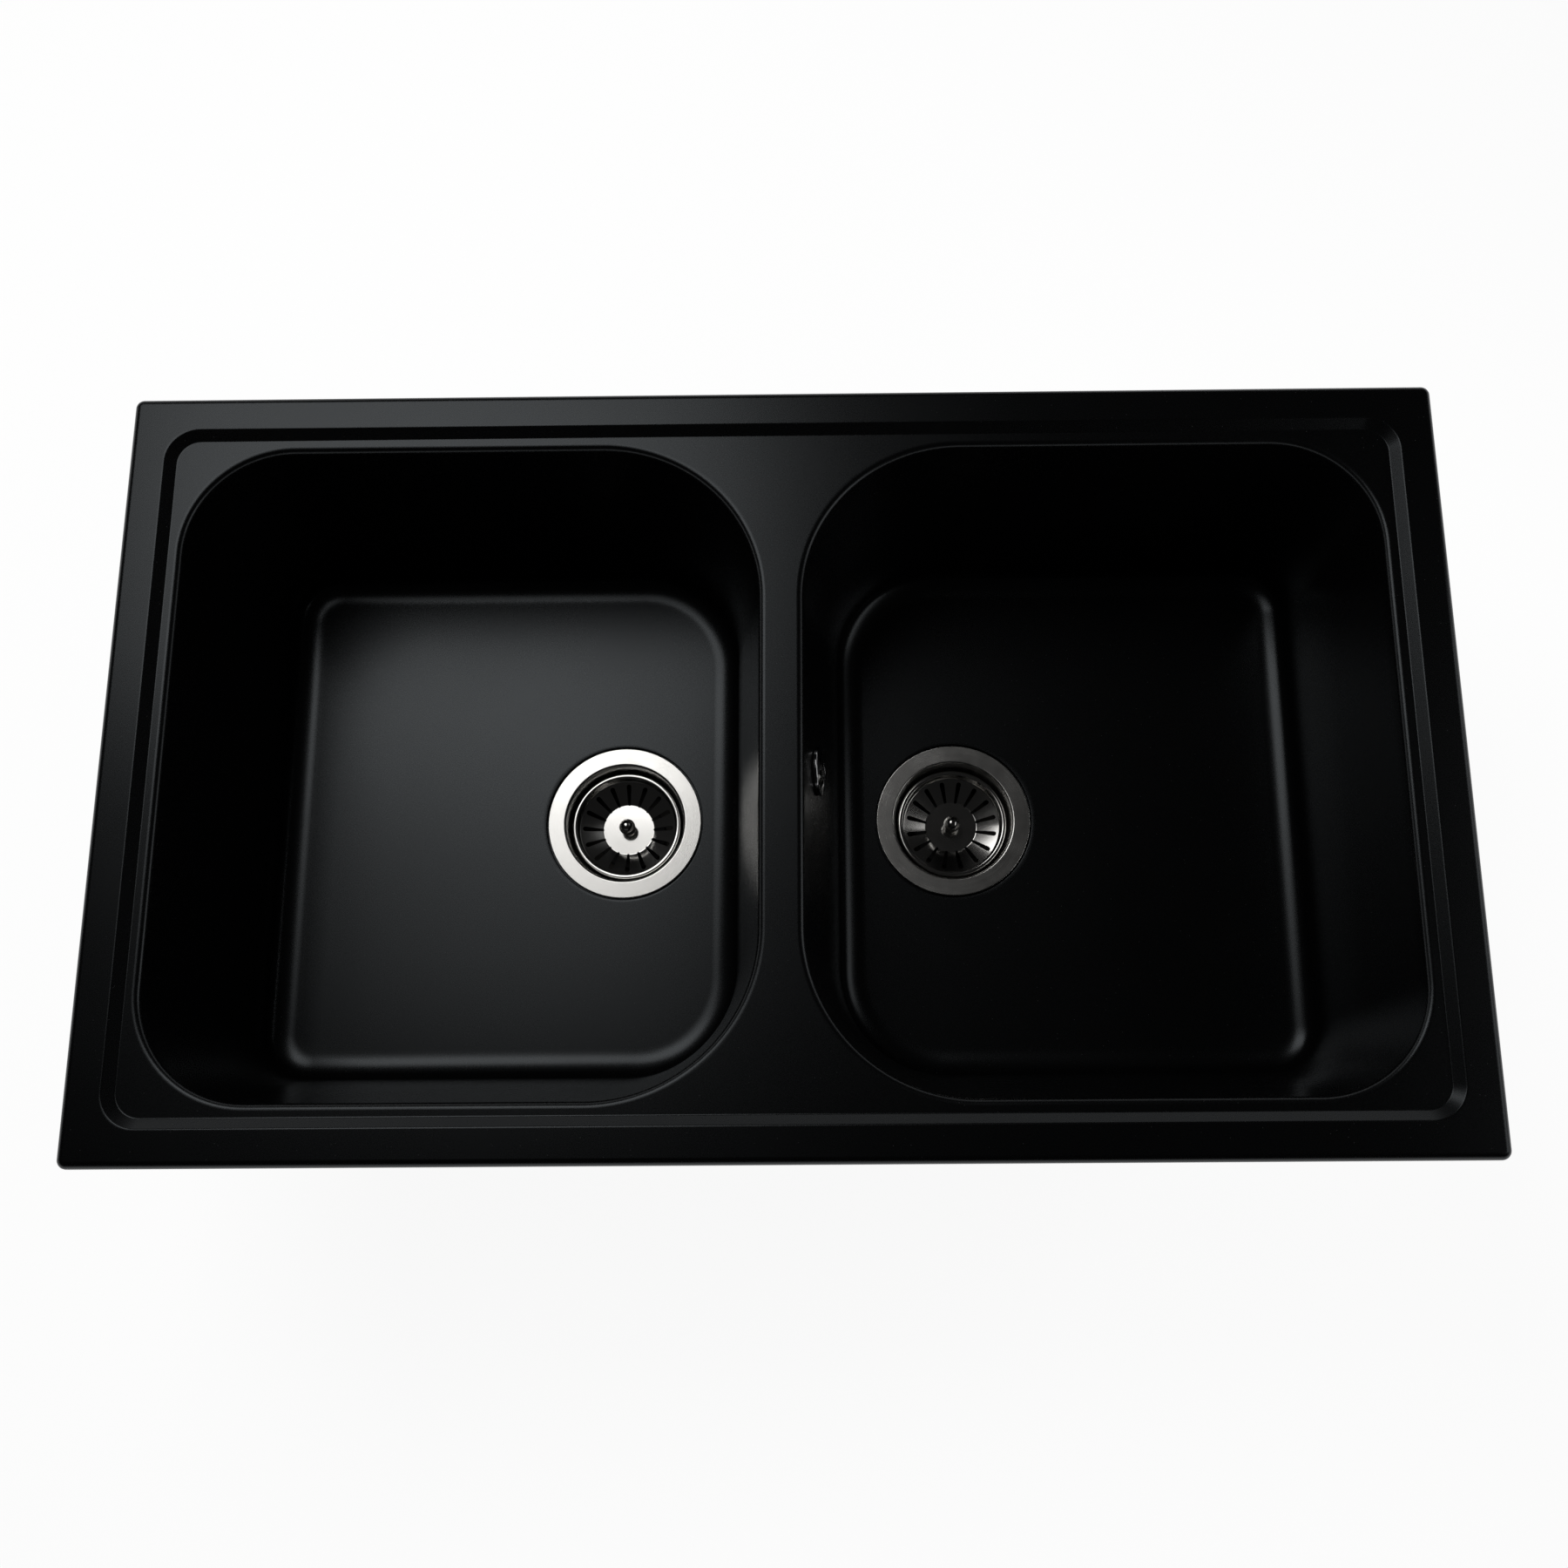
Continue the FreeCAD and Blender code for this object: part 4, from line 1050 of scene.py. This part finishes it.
nodeFinishes = {
    "sealRubber": ["overflow_front_seal", "overflow_back_seal"],
    "zincSteel": ["clip_bracket_" + str(number) for number in range(1, 9)],
    "turnedBrass": bothSides("waste_nut"),
    "basketSteel": bothSides("basket_stem"),
    "foamTape": ["rim_seal"],
    "wastePlastic": ["overflow_elbow", "hose_nut_top", "hose_nut_bottom"],
    "plugPlastic": ["clip_plugs"],
}
nodeFinishes["sealRubber"] += bothSides("flange_seal", "under_seal", "basket_stopper")
nodeFinishes["zincSteel"] += ["clip_screws", "clip_nuts"] + bothSides("waste_screw", "basket_washer")
pieceFinishes = {
    "composite": [sinkPiece],
    "compositeUnder": [sinkPiece],
    "flangeSteel": cups,
    "basketSteel": pans,
    "knobSteel": knobs,
    "rosetteChrome": rosettePieces,
    "hosePlastic": [hosePiece],
    "wastePlastic": housings,
}


def paintEverything():
    finishes = {"composite": compositeMaterial()}
    finishes.update({name: spunSteel(name) for name in steelFinishes})
    finishes.update({name: plainMaterial(name) for name in plainFinishes})
    for finish, pieces in pieceFinishes.items():
        for piece in pieces:
            piece.data.materials.append(finishes[finish])
    for finish, names in nodeFinishes.items():
        for name in names:
            for holder in nodes[name].material_slots:
                holder.material = finishes[finish]


paintEverything()
print("materials:", len(bpy.data.materials))

camera = dict(
    place=(0.03022, -0.25877, 0.94535), azimuth=-2.06, elevation=76.40, roll=-2.49,
    focal=1780.24, centre=(937.19, 924.45), imageSize=1800.0,
)


def addCamera():
    # forward points down to the sink; right and up are turned about it by the roll
    azimuth, elevation, roll = (math.radians(camera[name]) for name in ("azimuth", "elevation", "roll"))
    flat = math.cos(elevation)
    forward = np.array([math.sin(azimuth) * flat, math.cos(azimuth) * flat, -math.sin(elevation)])
    right = np.array([math.cos(azimuth), -math.sin(azimuth), 0.0])
    up = np.cross(right, forward)
    across = math.cos(roll) * right + math.sin(roll) * up
    upward = -math.sin(roll) * right + math.cos(roll) * up
    data = bpy.data.cameras.new("camera")
    data.sensor_width = 36.0
    data.lens = camera["focal"] / camera["imageSize"] * data.sensor_width
    data.shift_x = (camera["imageSize"] / 2 - camera["centre"][0]) / camera["imageSize"]
    data.shift_y = (camera["centre"][1] - camera["imageSize"] / 2) / camera["imageSize"]
    data.clip_start = 0.01
    data.clip_end = 50.0
    holder = addObject("camera", data)
    turned = Matrix(np.stack([across, upward, -forward], axis=1).tolist()).to_4x4()
    holder.matrix_world = Matrix.Translation(camera["place"]) @ turned
    bpy.context.scene.camera = holder


studio = {
    "lamps": {
        "keyLight": {"place": (-0.60, 0.80, 1.42), "size": (0.98, 0.72), "radiance": 2.5},
        "lowLight": {"place": (-0.55, 0.30, 1.62), "size": (0.66, 0.55), "radiance": 1.1},
        "sideLight": {"place": (0.78, -0.05, 0.31), "size": (0.24, 0.60), "radiance": 1.3},
    },
    "aim": (0.0, 0.0, -0.05),
    "skyLevel": 0.01,
    "horizon": (0.05, 0.4),
    "floorLevel": 0.93,
    "floorColor": (0.30, 0.30, 0.30, 1.0),
    "floorDrop": 0.002,
    "floorReach": 6.0,
    "white": (1.0, 1.0, 1.0, 1.0),
}


def addLamp(name, place, size, radiance):
    # a rectangle of even radiance gives a power of radiance x pi x its area
    data = bpy.data.lights.new(name, "AREA")
    data.shape = "RECTANGLE"
    data.size, data.size_y = size
    data.energy = radiance * math.pi * size[0] * size[1]
    back = unit(np.array(place) - studio["aim"])
    side = unit(np.cross([0.0, 1.0, 0.0], back))
    turned = Matrix(np.stack([side, np.cross(back, side), back], axis=1).tolist()).to_4x4()
    addObject(name, data).matrix_world = Matrix.Translation(place) @ turned


def raysOf(paint):
    # 1 for a ray from the camera, and 1 for a ray that a mirror or glass sends on
    ray = paint.node("LightPath")
    sentOn = paint.math("MAXIMUM", ray.out("Is Glossy Ray"), ray.out("Is Transmission Ray"))
    return ray.out("Is Camera Ray"), sentOn


def addSky():
    # white to the camera, white near the horizon to metal and glass, and nearly black to all else
    world = bpy.data.worlds.new("studio")
    sky = emptyTree(world)
    bpy.context.scene.world = world
    seen, sentOn = raysOf(sky)
    direction = sky.node("TexCoord").out("Generated")
    height = sky.node("SeparateXYZ", {"Vector": direction}).out("Z")
    white = sky.math("MAXIMUM", seen, sentOn * height.smooth(*studio["horizon"], 1.0, 0.0))
    level = white * (1.0 - studio["skyLevel"]) + studio["skyLevel"]
    back = sky.node("Background", {"Color": studio["white"], "Strength": level})
    sky.node("OutputWorld", {"Surface": back})


def addFloor():
    # a pale plain floor just under the wastes
    bottom = cadBox[0][2] - studio["floorDrop"]
    reach = studio["floorReach"]
    corners = [(x * reach, y * reach, bottom) for x, y in ((-1, -1), (1, -1), (1, 1), (-1, 1))]
    mesh = bpy.data.meshes.new("floor")
    mesh.from_pydata(corners, [], [(0, 1, 2, 3)])
    floor = addObject("floor", mesh)
    material, paint = newMaterial("paleFloor")
    level = paint.math("MAXIMUM", *raysOf(paint)) * studio["floorLevel"]
    matte = paint.node("BsdfDiffuse", {"Color": studio["floorColor"]})
    glow = paint.node("Emission", {"Color": studio["white"], "Strength": level})
    both = paint.node("AddShader", {0: matte, 1: glow})
    paint.node("OutputMaterial", {"Surface": both})
    mesh.materials.append(material)


addCamera()
for lampName, lamp in studio["lamps"].items():
    addLamp(lampName, **lamp)
addSky()
addFloor()
print("studio:", len(studio["lamps"]), "lamps")
bpy.context.scene.view_settings.view_transform = "Standard"
